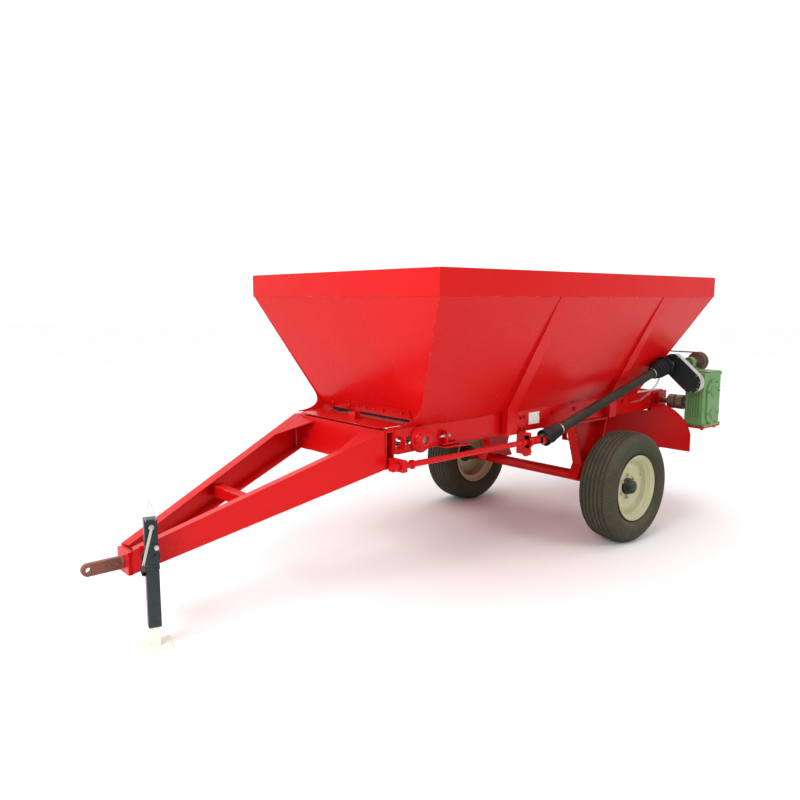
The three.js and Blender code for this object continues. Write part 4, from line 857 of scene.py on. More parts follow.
def build_take_up(side):
    bm = bmesh.new()
    axis = Vector((0, side, 0))
    centre = at(IDLER_X, side * 453.3, SHAFT_Z)
    outline = [(0.0203, 0.0), (0.0760, 0.0), (0.0760, 0.012), (0.0740, 0.0145), (0.0660, 0.0165),
               (0.0645, 0.022),
               (0.0625, 0.032), (0.0590, 0.0365), (0.0480, 0.0385), (0.0465, 0.0405), (0.0455, 0.0425),
               (0.0350, 0.0435), (0.0335, 0.0455), (0.0225, 0.046), (0.0215, 0.042), (0.0203, 0.041)]
    add_turned(bm, outline, centre, axis, 64)
    for i in range(4):
        turn = math.tau * (i + 0.5) / 4
        spoke = Vector((math.cos(turn), 0, math.sin(turn)))
        add_bolt(bm, centre + spoke * 0.0540 + axis * 0.036, axis, 0.010, 0.005)
    add_bar(bm, centre + Vector((0.020, 0, 0.0)) + axis * 0.041,
            centre + Vector((0.020, 0, 0)) + axis * 0.050, 0.004, 12)
    name = "left" if side < 0 else "right"
    finish_piece(f"take_up_bearing_{name}_cast", bm, "take_up", "red_paint", [f"take_up_bearing_{name}"],
                 smooth=math.radians(35))


for side in (-1, 1):
    build_take_up(side)

screws = bmesh.new()
screw_brackets = bmesh.new()
for side in (-1, 1):
    y = side * 474
    for x in (IDLER_X - 148, IDLER_X + 178):
        add_box(screw_brackets, at(x - 5, min(y - 20, y + 20), SHAFT_Z - 40),
                at(x + 5, max(y - 20, y + 20), SHAFT_Z + 32))
    add_box(screw_brackets, at(IDLER_X + 150, y - 20, SHAFT_Z - 50), at(IDLER_X + 286, y + 20, SHAFT_Z - 42))
    add_box(screw_brackets, at(IDLER_X + 262, y - 20, SHAFT_Z - 76), at(IDLER_X + 380, y + 20, SHAFT_Z - 68))
    add_bar(screws, at(IDLER_X + 137, y, SHAFT_Z), at(IDLER_X + 216, y, SHAFT_Z), 0.007, 16)
    for x in (IDLER_X + 166, IDLER_X + 184, IDLER_X + 200):
        add_bar(screws, at(x, y, SHAFT_Z), at(x + 9, y, SHAFT_Z), 0.0125, 6)
    for x in range(0, 76, 4):
        add_turned(screws, [(0.0068, 0.0), (0.0082, 0.001), (0.0068, 0.002)],
                   at(IDLER_X + 138 + x, y, SHAFT_Z), X_AXIS, 12)
soften_edges(screw_brackets, 0.0015, 2)
finish_piece("take_up_brackets", screw_brackets, "root", "red_paint")
finish_piece("take_up_screws", screws, "root", "steel")

# %% Floor chain with links, rollers and bars
DRUM, CHAIN_THICK, STRAND_Y = 49, 12, 335
LINK_PITCH = 0.050


def chain_path(radius):
    """Places and headings round the two running wheels, one per link."""
    run = (DRIVE_X - IDLER_X) / 1000
    half_turn = math.pi * radius
    total = 2 * run + 2 * half_turn
    count = 2 * round(total / LINK_PITCH / 2)
    for i in range(count):
        s = total * i / count
        if s < run:
            yield IDLER_X / 1000 + s, radius, 0.0
        elif s < run + half_turn:
            a = (s - run) / radius
            yield DRIVE_X / 1000 + radius * math.sin(a), radius * math.cos(a), -a
        elif s < 2 * run + half_turn:
            yield DRIVE_X / 1000 - (s - run - half_turn), -radius, math.pi
        else:
            a = (s - 2 * run - half_turn) / radius
            yield IDLER_X / 1000 - radius * math.sin(a), -radius * math.cos(a), math.pi - a


def build_floor_chain():
    bm = bmesh.new()
    radius = (DRUM + 1.5 + CHAIN_THICK / 2) / 1000
    for side in (-1, 1):
        for i, (x, z, tilt) in enumerate(chain_path(radius)):
            centre = Vector((AXLE_X + x, side * STRAND_Y / 1000, SHAFT_Z / 1000 + z))
            turn = Matrix.Rotation(-tilt, 4, "Y")
            reach = 0.0105 if i % 2 else 0.0065
            for offset in (-reach, reach):
                size = Vector((0.058, 0.003, 0.0105))
                place = Matrix.Translation(centre) @ turn @ Matrix.Translation((LINK_PITCH / 2, offset, 0))
                bmesh.ops.create_cube(bm, size=1, matrix=place @ Matrix.Diagonal((*size, 1)))
            add_bar(bm, centre - Y_AXIS * 0.011, centre + Y_AXIS * 0.011, 0.0052, 10)
    run = DRIVE_X - IDLER_X
    bars = run // 250
    for i in range(bars + 1):
        x = IDLER_X + i * run / bars
        for level in (1, -1):
            z = SHAFT_Z + level * (DRUM + 1.5 + 4 + 9)
            add_box(bm, at(x - 15, -372, z - 2 + 0.5 * level), at(x + 15, 372, z + 2 + 0.5 * level))
            add_box(bm, at(x - 2.5, -372, z - 9), at(x + 2.5, 372, z + 9))
    mark = bm.faces.layers.float.new("edge")
    for face in bm.faces:
        face[mark] = 0.4
    return finish_piece("floor_chain_links", bm, "root", "steel", ["floor_chain"],
                        material=finishes["worn_steel"])


build_floor_chain()
print("floor chain laid")

# %% Sprockets on both conveyor shafts


def add_sprocket(bm, centre, axis, root, tip, width, teeth, bore):
    outline = []
    for i in range(teeth):
        for share, radius in ((0.0, root), (0.30, root), (0.42, tip), (0.58, tip), (0.70, root)):
            turn = math.tau * (i + share) / teeth
            outline.append((radius * math.cos(turn), radius * math.sin(turn)))
    axis = Vector(axis)
    across = axis.orthogonal().normalized()
    up = axis.cross(across)
    add_slab(bm, outline, Vector(centre) - axis * width / 2, across, up, axis * width)
    add_bar(bm, Vector(centre) - axis * width, Vector(centre) + axis * width, bore * 1.6, 28)


def build_conveyor_shaft(node, x, low, high, body):
    bm = bmesh.new()
    add_bar(bm, at(x, low, SHAFT_Z), at(x, high, SHAFT_Z), 0.020, 32)
    for side in (-1, 1):
        add_sprocket(bm, at(x, side * STRAND_Y, SHAFT_Z), Y_AXIS, 0.041, 0.049, 0.010, 10, 0.020)
    if body == "drive_shaft":
        for start, finish, radius in ((-668, -616, 0.055), (-600, -548, 0.055), (-616, -600, 0.042)):
            add_turned(bm,
                       [(0.018, start / 1000), (radius - 0.003, start / 1000), (radius, start / 1000 + 0.003),
                            (radius, finish / 1000 - 0.003), (radius - 0.003, finish / 1000), (0.018,
                            finish / 1000)],
                       at(x, 0, SHAFT_Z), Y_AXIS, 48)
        for i in range(6):
            turn = math.tau * i / 6
            spoke = Vector((math.cos(turn), 0, math.sin(turn))) * 0.046
            add_bolt(bm, at(x, -668, SHAFT_Z) + spoke, (0, -1, 0), 0.010, 0.005)
    finish_piece(f"{node}_toothed", bm, body, "steel", [node], material=finishes["worn_steel"])


low, high, _ = span("conveyor_idler_shaft")
build_conveyor_shaft("conveyor_idler_shaft", IDLER_X, low.y * 1000, high.y * 1000, "idler_shaft")
low, high, _ = span("conveyor_drive_shaft")
build_conveyor_shaft("conveyor_drive_shaft", DRIVE_X, low.y * 1000, high.y * 1000, "drive_shaft")

# %% [markdown]
# ## Drive line and its guard
#
# A universal joint at each end lets the cardan shaft climb from the rail to the chain
# case. Its guard is a moulded tube with a stepped cone in front and bellows behind. A
# light chain to the rail keeps the guard from turning with the shaft.

# %% Places along the cardan shaft
# Heights and sides of the stub shaft's line and of the input shaft's line, in millimetres
LINE_Y, LINE_Z = -535, 755
UPPER_Y, UPPER_Z = -655, 1172
CARDAN_START = Vector(joints["cardan_spin"]["pos_m"])
CARDAN_AXIS = Vector(joints["cardan_spin"]["axis"]).normalized()
CARDAN_LENGTH = (at(655, UPPER_Y, UPPER_Z) - CARDAN_START).length


def on_cardan(distance):
    return CARDAN_START + CARDAN_AXIS * distance


# %% Guard cone, tube and bellows
def build_guard():
    length = CARDAN_LENGTH
    cone = bmesh.new()
    outline = [(0.0285, 0.178), (0.051, 0.096), (0.051, 0.012), (0.0535, 0.010), (0.0558, 0.013),
               (0.0558, 0.022),
               (0.0530, 0.025), (0.0530, 0.060), (0.0556, 0.064), (0.0556, 0.074), (0.0525, 0.078), (0.0490,
                                                                                                     0.110),
               (0.0450, 0.140), (0.0450, 0.152), (0.0400, 0.158), (0.0370, 0.178)]
    add_turned(cone, outline, CARDAN_START, CARDAN_AXIS, 56)
    finish_piece("guard_front_cone", cone, "root", "guard_plastic", material=finishes["black_plastic"])
    tube = bmesh.new()
    rings = [(0.028, 0.165), (0.0330, 0.165), (0.0330, length * 0.45), (0.0345, length * 0.45 + 0.003),
             (0.0345, length * 0.45 + 0.030), (0.0325, length * 0.45 + 0.034), (0.0325, length - 0.160),
             (0.028, length - 0.160)]
    add_turned(tube, rings, CARDAN_START, CARDAN_AXIS, 48)
    finish_piece("guard_tube", tube, "root", "guard_plastic", ["cardan_guard"])
    bellows = bmesh.new()
    outer = [(0.0345, length - 0.178)]
    start, end, folds = length - 0.172, length - 0.030, 5
    for i in range(folds * 8 + 1):
        share = i / (folds * 8)
        wave = 0.0045 * math.cos(math.tau * share * folds)
        outer.append((0.0420 + 0.0200 * min(1.0, share * 1.8) - wave, start + (end - start) * share))
    outer += [(0.0690, length - 0.028), (0.0715, length - 0.024), (0.0715, length - 0.012),
              (0.0680, length - 0.008),
              (0.0640, length - 0.010)]
    inner = [(max(0.0285, radius - 0.004), station) for radius, station in reversed(outer[:-5])]
    add_turned(bellows, outer + inner, CARDAN_START, CARDAN_AXIS, 56)
    finish_piece("guard_bellows", bellows, "root", "guard_plastic", material=finishes["black_plastic"])
    clips = bmesh.new()
    for distance in (0.170, length - 0.176):
        add_turned(clips, [(0.0375, -0.005), (0.0395, -0.005), (0.0395, 0.005), (0.0375, 0.005)],
                   on_cardan(distance),
                   CARDAN_AXIS, 40)
    finish_piece("guard_clips", clips, "root", "steel")


build_guard()

# %% Universal joints and shafts


def add_yoke(bm, centre, axis, ear_axis, hub_length):
    """A forged yoke behind a joint's centre; its ears reach past it on ear_axis."""
    axis, ear_axis = Vector(axis).normalized(), Vector(ear_axis).normalized()
    third = axis.cross(ear_axis)
    centre = Vector(centre)
    add_bar(bm, centre - axis * (hub_length + 0.034), centre - axis * 0.036, 0.026, 28)
    for side in (-1, 1):
        round_end = [(x, y) for x, y in arc((0.001, 0.0), 0.016, 90, -90, 12)]
        outline = [(-0.044, 0.016)] + round_end + [(-0.044, -0.016)]
        base = centre + ear_axis * (0.022 if side > 0 else -0.034)
        add_slab(bm, outline, base, axis, third, ear_axis * 0.012)
        add_bar(bm, centre + ear_axis * side * 0.016, centre + ear_axis * side * 0.0338, 0.0105, 20)
    bridge = Matrix.Translation(centre - axis * 0.039)
    turn = Matrix((ear_axis, third, axis)).transposed().to_4x4()
    bmesh.ops.create_cube(bm, size=1, matrix=bridge @ turn @ Matrix.Diagonal((0.068, 0.032, 0.010, 1)))


def build_drive_line():
    cardan_up = (Z_AXIS - CARDAN_AXIS * CARDAN_AXIS.z).normalized()
    shaft = bmesh.new()
    add_yoke(shaft, CARDAN_START, -CARDAN_AXIS, cardan_up, 0.040)
    add_yoke(shaft, on_cardan(CARDAN_LENGTH), CARDAN_AXIS, cardan_up, 0.040)
    add_bar(shaft, on_cardan(0.060), on_cardan(CARDAN_LENGTH - 0.060), 0.022, 24)
    for place in (CARDAN_START, on_cardan(CARDAN_LENGTH)):
        add_ball(shaft, place, 0.0138, 10)
    finish_piece("cardan_shaft_forged", shaft, "cardan", "steel", ["cardan_shaft"],
                 material=finishes["worn_steel"])
    front = bmesh.new()
    add_bar(front, at(-1899, LINE_Y, LINE_Z), at(-720, LINE_Y, LINE_Z), 0.017, 32)
    add_sprocket(front, at(-1912, LINE_Y, LINE_Z), X_AXIS, 0.0215, 0.024, 0.026, 6, 0.011)
    add_yoke(front, at(-640, LINE_Y, LINE_Z), X_AXIS, Y_AXIS, 0.060)
    for x in (-1780, -842, -700):
        add_turned(front,
                   [(0.017, -0.008), (0.0245, -0.008), (0.026, -0.006), (0.026, 0.006), (0.0245, 0.008),
                           (0.017, 0.008)], at(x, LINE_Y, LINE_Z), X_AXIS, 32)
    finish_piece("line_shaft_turned", front, "line_shaft", "red_paint", ["line_shaft"])
    rear = bmesh.new()
    add_yoke(rear, at(655, UPPER_Y, UPPER_Z), -X_AXIS, Y_AXIS, 0.040)
    add_bar(rear, at(705, UPPER_Y, UPPER_Z), at(1182, UPPER_Y, UPPER_Z), 0.016, 28)
    add_sprocket(rear, at(772, UPPER_Y, UPPER_Z), X_AXIS, 0.038, 0.046, 0.012, 14, 0.016)
    add_box(rear, at(1148, -657.5, 1186), at(1176, -652.5, 1191))
    finish_piece("input_shaft_turned", rear, "input_shaft", "steel", ["input_shaft"])


build_drive_line()

# %% Guard chain: open links, each turned a quarter from the last
CHAIN_POINTS = [at(580, -648, 1082), at(578, -640, 1050), at(570, -612, 1000), at(556, -570, 950),
                at(538, -520, 905),
                at(520, -452, 880)]


def add_link(bm, centre, heading, roll, length, width, wire):
    """An oval ring of round wire, laid along a heading."""
    base = heading.to_track_quat("X", "Z").to_matrix().to_4x4()
    place = Matrix.Translation(centre) @ base @ Matrix.Rotation(roll, 4, "X")
    straight = (length - width) / 2
    loop_points = [(straight + width / 2 * math.cos(a), width / 2 * math.sin(a))
                   for a in (math.radians(-90 + 30 * i) for i in range(7))]
    loop_points += [(-straight - width / 2 * math.cos(a), width / 2 * math.sin(a))
                    for a in (math.radians(90 - 30 * i) for i in range(7))]
    rings = []
    for x, y in loop_points:
        outwards = Vector((x - max(-straight, min(straight, x)), y, 0)).normalized()
        ring = [bm.verts.new(place @ (Vector((x, y,
                                              0)) + wire * (outwards * math.cos(t) + Z_AXIS * math.sin(t))))
                for t in (math.tau * k / 6 for k in range(6))]
        rings.append(ring)
    for first, second in zip(rings, rings[1:] + rings[:1]):
        for k in range(6):
            n = (k + 1) % 6
            bm.faces.new((first[k], first[n], second[n], second[k]))


chain_bm = bmesh.new()
chain_line = smooth_line(CHAIN_POINTS, 24)
travel, next_link, link_count = 0.0, 0.0, 0
for here, there in zip(chain_line, chain_line[1:]):
    travel += (there - here).length
    if travel >= next_link:
        add_link(chain_bm, here, (there - here).normalized(), (link_count % 2) * math.pi / 2, 0.020, 0.011,
                 0.0017)
        next_link += 0.0135
        link_count += 1
finish_piece("guard_chain_links", chain_bm, "root", "steel", ["guard_chain"])
print("guard chain links:", link_count)

# %% Shaft hanger: a strap, a round flanged bearing and a clamp boss
def build_hanger():
    bm = bmesh.new()
    x = -794
    add_box(bm, at(x, -559, 671), at(x + 12, -447.3, 815))
    add_box(bm, at(x, -459.3, 795), at(x + 80, -447.3, 939))
    place = at(x, LINE_Y, LINE_Z)
    add_turned(bm,
               [(0.0175, 0.0), (0.042, 0.0), (0.042, 0.010), (0.034, 0.014), (0.032, 0.034), (0.028, 0.038),
                    (0.028, 0.052), (0.0175, 0.052)], place, X_AXIS, 48)
    add_turned(bm,
               [(0.010, -0.002), (0.030, -0.002), (0.030, 0.012), (0.022, 0.014), (0.020, 0.040),
                (0.010, 0.040)],
               at(x, -521, 689), X_AXIS, 40)
    for y, z in ((-560, 778), (-510, 778), (-560, 732), (-510, 732)):
        add_bolt(bm, at(x, y, z), (-1, 0, 0), 0.012, 0.004)
    for dx in (22, 60):
        add_bolt(bm, at(x + dx, -459.3, 900), (0, -1, 0), 0.018, 0.010)
        add_bolt(bm, at(x + dx, -459.3, 830), (0, -1, 0), 0.018, 0.010)
    soften_edges(bm, 0.0008, 1, 50)
    finish_piece("shaft_hanger_cast", bm, "root", "red_paint", ["shaft_hanger"])


build_hanger()

# %% [markdown]
# ## Chain case, reducer and belt
#
# The chain case is pressed from dark sheet with a bright folded edge. The reducer is a
# cast box: rounded corners, upright fins, a bolted side cover with two round caps and a
# breather. Each is built from plain solids whose edges are then rounded,
# which is how a cast wall looks.

# %% Chain case cover


def oblong(a, b, radius, steps=14):
    """Points round two half circles about a and b."""
    a, b = Vector(a), Vector(b)
    heading = math.atan2(b.y - a.y, b.x - a.x)
    points = []
    for centre, start in ((b, heading - math.pi / 2), (a, heading + math.pi / 2)):
        for i in range(steps + 1):
            turn = start + math.pi * i / steps
            points.append((centre.x + radius * math.cos(turn), centre.y + radius * math.sin(turn)))
    return points


CASE_LOW, CASE_HIGH = (-0.808, 1.045), (-0.655, 1.172)


def build_case():
    cover = bmesh.new()
    add_slab(cover, oblong(CASE_LOW, CASE_HIGH, 0.0765), at(745.4, 0, 0), Y_AXIS, Z_AXIS, X_AXIS * 0.0050)
    add_slab(cover, oblong(CASE_LOW, CASE_HIGH, 0.060), at(744.2, 0, 0), Y_AXIS, Z_AXIS, X_AXIS * 0.002)
    soften_edges(cover, 0.0016, 3)
    finish_piece("case_cover_pressed", cover, "root", "blue_paint", ["chain_case_cover"])
    shell = bmesh.new()
    outer, inner = oblong(CASE_LOW, CASE_HIGH, 0.078), oblong(CASE_LOW, CASE_HIGH, 0.0765)
    front, rear = at(744.6, 0, 0), at(752, 0, 0)
    rings = [[shell.verts.new(origin + Y_AXIS * y + Z_AXIS * z) for y, z in outline]
             for outline, origin in ((inner, front), (outer, front), (outer, rear), (inner, rear))]
    for first, second in zip(rings, rings[1:] + rings[:1]):
        for k in range(len(first)):
            n = (k + 1) % len(first)
            shell.faces.new((first[k], first[n], second[n], second[k]))
    finish_piece("case_bright_edge", shell, "root", "steel")
    screws = bmesh.new()
    for y, z in oblong(CASE_LOW, CASE_HIGH, 0.0685, 4):
        add_bolt(screws, at(744.6, y * 1000, z * 1000), (-1, 0, 0), 0.010, 0.003, washer=False)
    finish_piece("case_screws", screws, "root", "steel")
    seal = bmesh.new()
    for outline_radius, station in ((0.036, 0.0), (0.030, -0.006)):
        add_turned(seal, [(0.0185, station), (outline_radius, station), (outline_radius, station - 0.006),
                          (0.0185, station - 0.006)], at(744, UPPER_Y, UPPER_Z), X_AXIS, 40)
    finish_piece("case_shaft_seal", seal, "root", "blue_paint", material=finishes["black_plastic"])


build_case()

# %% Drive chain and sprockets in the case


def build_case_chain():
    bm = bmesh.new()
    a, b = Vector((*CASE_LOW, 0)), Vector((*CASE_HIGH, 0))
    radius, pitch = 0.0515, 0.0127
    run = (b - a).length
    total = 2 * run + math.tau * radius
    count = 2 * round(total / pitch / 2)
    heading = math.atan2(b.y - a.y, b.x - a.x)
    ahead, out = Vector((math.cos(heading), math.sin(heading), 0)), Vector((math.sin(heading),
                                                                            -math.cos(heading), 0))
    for i in range(count):
        s = total * i / count
        if s < run:
            place = a + out * radius + ahead * s
        elif s < run + math.pi * radius:
            turn = heading - math.pi / 2 + (s - run) / radius
            place = b + Vector((math.cos(turn), math.sin(turn), 0)) * radius
        elif s < 2 * run + math.pi * radius:
            place = b - out * radius - ahead * (s - run - math.pi * radius)
        else:
            turn = heading + math.pi / 2 + (s - 2 * run - math.pi * radius) / radius
            place = a + Vector((math.cos(turn), math.sin(turn), 0)) * radius
        centre = at(772, place.x * 1000, place.y * 1000)
        add_bar(bm, centre - X_AXIS * 0.006, centre + X_AXIS * 0.006, 0.0042, 10)
    finish_piece("case_chain_rollers", bm, "root", "steel", ["case_chain"], material=finishes["worn_steel"])
    lower = bmesh.new()
    add_bar(lower, at(761, -808, 1045), at(839.7, -808, 1045), 0.016, 28)
    add_sprocket(lower, at(772, -808, 1045), X_AXIS, 0.038, 0.046, 0.012, 14, 0.016)
    finish_piece("reducer_input_toothed", lower, "reducer_input", "steel", ["reducer_input_shaft"])


build_case_chain()

# %% Reducer casting


def build_reducer():
    bm = bmesh.new()
    front, rear, outer, inner, bottom, top = 840, 1100, -866, -718, 705, 1110
    mid_x = (front + rear) / 2
    add_box(bm, at(front, outer, bottom + 14), at(rear, inner, top - 10))
    soften_edges(bm, 0.010, 4)
    extra = bmesh.new()
    add_box(extra, at(front - 4, outer - 4, top - 22), at(rear + 4, inner + 2, top - 1))
    add_box(extra, at(front + 12, outer - 6, bottom), at(rear + 14, inner - 4, bottom + 18))
    soften_edges(extra, 0.004, 3)
    cover = bmesh.new()
    low_cap, high_cap = (mid_x, SHAFT_Z - 66), (mid_x, SHAFT_Z + 102)
    add_slab(cover, oblong(low_cap, high_cap, 88, 20), Vector((AXLE_X, (outer - 12) / 1000, 0)),
             X_AXIS / 1000, Z_AXIS / 1000, Y_AXIS * 0.013)
    soften_edges(cover, 0.004, 3)
    for cap_x, cap_z in (low_cap, high_cap):
        add_turned(cover,
                   [(0.0, 0.0), (0.044, 0.0), (0.044, 0.004), (0.041, 0.0075), (0.030, 0.0085),
                    (0.028, 0.0065),
                           (0.0, 0.0065)], at(cap_x, outer - 11, cap_z), -Y_AXIS, 44)
        for i in range(4):
            turn = math.tau * (i + 0.5) / 4
            add_bolt(cover, at(cap_x + 36 * math.cos(turn), outer - 18, cap_z + 36 * math.sin(turn)),
                     (0, -1, 0),
                     0.008, 0.0030, washer=False)
    for x, z in oblong(low_cap, high_cap, 79, 3):
        add_bolt(cover, at(x, outer - 12, z), (0, -1, 0), 0.013, 0.006)
    bmesh.ops.remove_doubles(cover, verts=cover.verts, dist=1e-6)
    fins = bmesh.new()
    for i in range(6):
        y = (outer + inner) / 2 + (i - 2.5) * 20
        add_box(fins, at(front - 9, y - 4, 770), at(front + 1, y + 4, 985))
    for i in range(5):
        x = front + 45 + i * 42
        add_box(fins, at(x - 3.5, inner - 1, 760), at(x + 3.5, inner + 7, 800))
    soften_edges(fins, 0.0025, 2)
    pads = bmesh.new()
    add_turned(pads, [(0.0165, -0.002), (0.040, -0.002), (0.040, 0.008), (0.037, 0.012), (0.0165, 0.012)],
               at(front, -808, 1045), -X_AXIS, 40)
    add_turned(pads, [(0.021, -0.002), (0.046, -0.002), (0.046, 0.008), (0.043, 0.012), (0.021, 0.012)],
               at(DRIVE_X, inner, SHAFT_Z), Y_AXIS, 40)
    for z in range(745, 1090, 62):
        add_bolt(pads, at(rear, outer + 14, z), (1, 0, 0), 0.014, 0.007)
        add_bolt(pads, at(rear, inner - 14, z), (1, 0, 0), 0.014, 0.007)
    add_bar(pads, at(rear - 50, -790, top - 2), at(rear - 50, -790, top + 7), 0.012, 6)
    for i, source in enumerate((bm, extra, cover, fins, pads)):
        name = ("box", "flanges", "side_cover", "fins", "pads_and_bolts")[i]
        nodes = ["reducer"] if i == 0 else ()
        finish_piece(f"reducer_{name}", source, "root", "green_paint", nodes)


build_reducer()
print("reduction gearbox built")

# %% Bearing shelf, pulleys and belt


def build_shelf():
    bm = bmesh.new()
    add_box(bm, at(900, -866, 1110.3), at(1100, -610, 1118.3))
    soften_edges(bm, 0.002, 2)
    finish_piece("bearing_shelf_plate", bm, "root", "green_paint", ["bearing_shelf"])
    block = bmesh.new()
    add_box(block, at(980, -719, 1117), at(1040, -613, 1130))
    soften_edges(block, 0.004, 3)
    outline = [(-0.040, 0.0)] + [(x, y + 0.054) for x, y in arc((0, 0), 0.040, 180, 0, 20)] + [(0.040, 0.0)]
    add_slab(block, outline, at(984, -655, 1118), Y_AXIS, Z_AXIS, X_AXIS * 0.052)
    for y in (-706, -626):
        add_bolt(block, at(1010, y, 1130), (0, 0, 1), 0.016, 0.009)
    finish_piece("pillow_block", block, "root", "green_paint")


def pulley_outline():
    low, high = 1112, 1162
    return [(0.0165, low), (0.028, low), (0.028, low + 8), (0.058, low + 8), (0.062, low), (0.075, low),
            (0.075, low + 5), (0.064, low + 8), (0.064, high - 8), (0.075, high - 5), (0.075, high), (0.062,
                                                                                                      high),
            (0.058, high - 8), (0.028, high - 8), (0.028, high), (0.0165, high)]


def build_pulleys():
    for node, y, body, slot in (("input_pulley", -655, "input_shaft", "steel"),
                                ("spinner_pulley", 0, "bevel_input", "steel")):
        bm = bmesh.new()
        add_turned(bm, [(r, x / 1000) for r, x in pulley_outline()], at(0, y, 1172), X_AXIS, 64)
        if y == 0:
            add_bar(bm, at(1059, 0, 1172), at(1178, 0, 1172), 0.017, 28)
        finish_piece(f"{node}_turned", bm, body, slot, [node], material=finishes["worn_steel"])
    hub = bmesh.new()
    add_turned(hub, [(0.0163, 0.0), (0.036, 0.0), (0.036, 0.010), (0.030, 0.014), (0.0163, 0.014)],
               at(1162, UPPER_Y, UPPER_Z), X_AXIS, 36)
    for i in range(3):
        turn = math.tau * i / 3
        add_bolt(hub, at(1172, UPPER_Y + 25 * math.cos(turn), UPPER_Z + 25 * math.sin(turn)), (1, 0, 0),
                 0.010, 0.006)
    finish_piece("pulley_hub_clamp", hub, "input_shaft", "steel", material=finishes["green_paint"])
    belt = bmesh.new()
    outer, inner = oblong((-0.655, 1.172), (0.0, 1.172), 0.0735, 28), oblong((-0.655, 1.172), (0.0, 1.172),
                                                                             0.0662, 28)
    for x in (1121, 1132.5, 1144):
        rings = [[belt.verts.new(at(x + dx, y * 1000, z * 1000)) for y, z in outline]
                 for outline, dx in ((inner, 2), (outer, 0), (outer, 9.5), (inner, 7.5))]
        for first, second in zip(rings, rings[1:] + rings[:1]):
            for k in range(len(first)):
                n = (k + 1) % len(first)
                belt.faces.new((first[k], first[n], second[n], second[k]))
    finish_piece("drive_belts", belt, "root", "belt", ["drive_belt"])


build_shelf()
build_pulleys()

# %% [markdown]
# ## Spinner discs
#
# Two discs throw the load. Each is a pressed plate with four bolted, lipped vanes on a
# cast hub. A gear case under them keeps them in step, so it gets a bolted lid line.

# %% Discs and gear case details


def build_disc(side, name):
    bm = bmesh.new()
    centre = at(1170, side * 270, 0)
    add_turned(bm,
               [(0.0, 0.5325), (0.236, 0.5325), (0.250, 0.5345), (0.250, 0.538), (0.236, 0.5365),
                (0.060, 0.538),
                    (0.0, 0.538)], centre, Z_AXIS, 80)
    add_turned(bm,
               [(0.0, 0.5003), (0.040, 0.5003), (0.046, 0.506), (0.046, 0.546), (0.042, 0.552),
                (0.018, 0.553),
                    (0.017, 0.558), (0.0, 0.558)], centre, Z_AXIS, 40)
    bmesh.ops.remove_doubles(bm, verts=bm.verts, dist=1e-6)
    for i in range(4):
        turn = math.tau * (i + 0.5) / 4
        outwards = Vector((math.cos(turn), math.sin(turn), 0))
        across = Vector((-math.sin(turn), math.cos(turn), 0))
        profile = [(-0.003, 0.0), (-0.003, 0.047), (0.021, 0.047), (0.022, 0.044), (0.001, 0.043),
                   (0.001, 0.005),
                   (0.016, 0.004), (0.016, 0.0)]
        add_slab(bm, profile, centre + Z_AXIS * 0.533 + outwards * 0.050, across, Z_AXIS, outwards * 0.195)
        for reach in (0.085, 0.200):
            add_bolt(bm, centre + outwards * reach + across * 0.010 + Z_AXIS * 0.537, (0, 0, 1), 0.010, 0.006)
    finish_piece(f"spinner_disc_{name}_bolted", bm, f"disc_{name}", "steel", [f"spinner_disc_{name}"],
                 material=finishes["worn_steel"])


build_disc(-1, "left")
build_disc(1, "right")
lid = bmesh.new()
for y in range(-300, 301, 75):
    for x in (1112, 1228):
        add_bolt(lid, at(x, y, 500), (0, 0, 1), 0.012, 0.0005, washer=False)
for y in (-60, 60):
    for z in (1105, 1150, 1195, 1240):
        add_bolt(lid, at(1106, y, z), (1, 0, 0), 0.011, 0.004, washer=False)
finish_piece("gear_case_bolts", lid, "root", "green_paint")
print("spinner discs built")

# %% [markdown]
# ## Hitch eye, jack and small parts
#
# The eye is a forged plate on a round shank. The jack is a square tube with a swivel and
# a collar; its crank is one bent round bar with a dark grip. A sprung pin locks it and a
# wire loop carries its safety clip.

# %% Hitch eye details
eye_bm = bmesh.new()
for x in (-3262, -3222):
    add_bolt(eye_bm, at(x, -13, 389), (0, -1, 0), 0.018, 0.007)
add_turned(eye_bm, [(0.0142, 0.0), (0.0235, 0.0), (0.0225, 0.0025), (0.0142, 0.0028)], at(-3356, -13, 389),
           -Y_AXIS, 40)
finish_piece("hitch_eye_bolts", eye_bm, "hitch", "eye_steel")

# %% Jack details
JACK_SWING = joints["jack_swing"]
JACK_CENTRE = Vector(JACK_SWING["pos_m"])
JACK_OUT = Vector(JACK_SWING["axis"]).normalized()
JACK_SIDE = JACK_OUT.cross(Z_AXIS).normalized()
if JACK_SIDE.x > 0:
    JACK_SIDE = -JACK_SIDE


def on_jack(side, out, z):
    """Millimetres from the tube's axis: forward, away from the arm, and the height."""
    return Vector((JACK_CENTRE.x, JACK_CENTRE.y,
                   0)) + JACK_SIDE * side / 1000 + JACK_OUT * out / 1000 + Z_AXIS * z / 1000


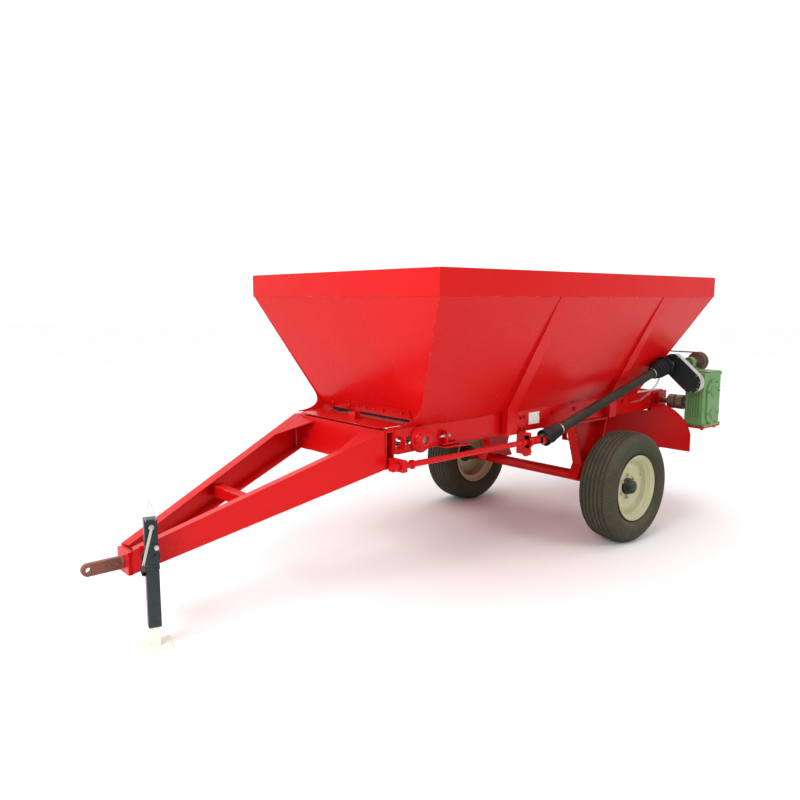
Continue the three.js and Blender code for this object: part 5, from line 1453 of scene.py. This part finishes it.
def build_jack():
    cap = bmesh.new()
    add_slab(cap, [(-30, -30), (30, -30), (30, 30), (-30, 30)], on_jack(0, 0, 632), JACK_SIDE / 1000,
             JACK_OUT / 1000,
             Z_AXIS * 0.003)
    soften_edges(cap, 0.0012, 2)
    for z in (402, 462):
        add_bolt(cap, on_jack(-12, 33.2, z - 6), JACK_OUT, 0.010, 0.004)
    finish_piece("jack_cap", cap, "jack_body", "blue_paint")
    crank = bmesh.new()
    lean = math.radians(14.4)
    top_z = 602
    end = on_jack(190 * math.sin(lean), 60, top_z - 190 * math.cos(lean))
    add_path(crank, [on_jack(0, 28, top_z), on_jack(0, 60, top_z), end, end + JACK_OUT * 0.012], 0.0068, 16)
    add_turned(crank, [(0.0, 0.0), (0.0125, 0.0), (0.0125, 0.012), (0.0, 0.012)], on_jack(0, 40, top_z),
               JACK_OUT, 24)
    bmesh.ops.remove_doubles(crank, verts=crank.verts, dist=1e-6)
    finish_piece("jack_crank_bent", crank, "jack_crank", "steel", ["jack_crank"])
    grip = bmesh.new()
    outline = [(0.0068, 0.0)] + [(0.0122 + 0.0008 * math.cos(math.tau * i / 4),
                                  0.004 + 0.072 * i / 32) for i in range(33)]
    add_turned(grip, outline + [(0.0068, 0.080)], end + JACK_OUT * 0.003, JACK_OUT, 28)
    finish_piece("jack_grip", grip, "jack_crank", "steel", material=finishes["black_plastic"])
    pin = bmesh.new()
    add_bar(pin, on_jack(-20, 30, 500), on_jack(-20, 52, 500), 0.006, 16)
    add_bar(pin, on_jack(-20, 47, 500), on_jack(-20, 50, 500), 0.011, 20)
    for i in range(5):
        add_turned(pin, [(0.0075, 0.0), (0.0095, 0.001), (0.0075, 0.002)], on_jack(-20, 31 + i * 3.2, 500),
                   JACK_OUT, 20)
    finish_piece("jack_sprung_pin", pin, "jack_body", "steel")
    wire = bmesh.new()
    add_path(wire, [on_jack(*place) for place in ((-22, 31, 628), (-26, 31, 640), (-2, 20, 722), (3, 20, 722),
                                                  (24, 31, 640), (22, 31, 628))], 0.0016, 6)
    finish_piece("jack_clip_wire", wire, "jack_body", "steel")
    foot = bmesh.new()
    for start, finish in (((-24, -24), (24, -24)), ((24, -24), (24, 24)), ((24, 24), (-24, 24)),
                          ((-24, 24), (-24, -24))):
        add_weld(foot, on_jack(*start, 11), on_jack(*finish, 11), 0.0035)
    finish_piece("jack_foot_welds", foot, "jack_leg", "white_paint")


build_jack()
print("jack built")

# %% Plain plate with four rivets
plate_low, plate_high, _ = span("data_plate")
plate = bmesh.new()
for x in (plate_low.x + 0.007, plate_high.x - 0.007):
    for z in (plate_low.z + 0.007, plate_high.z - 0.007):
        add_ball(plate, (x, plate_low.y, z), 0.0022, 6)
finish_piece("plate_rivets", plate, "root", "label", material=finishes["steel"])

# %% Left-over frame nodes take their finish directly
for node, slot_name in SLOT_OF.items():
    if node not in EDGE_WIDTHS:
        mesh = frame["nodes"][node].data
        mesh.materials.clear()
        mesh.materials.append(finishes[slot_name])
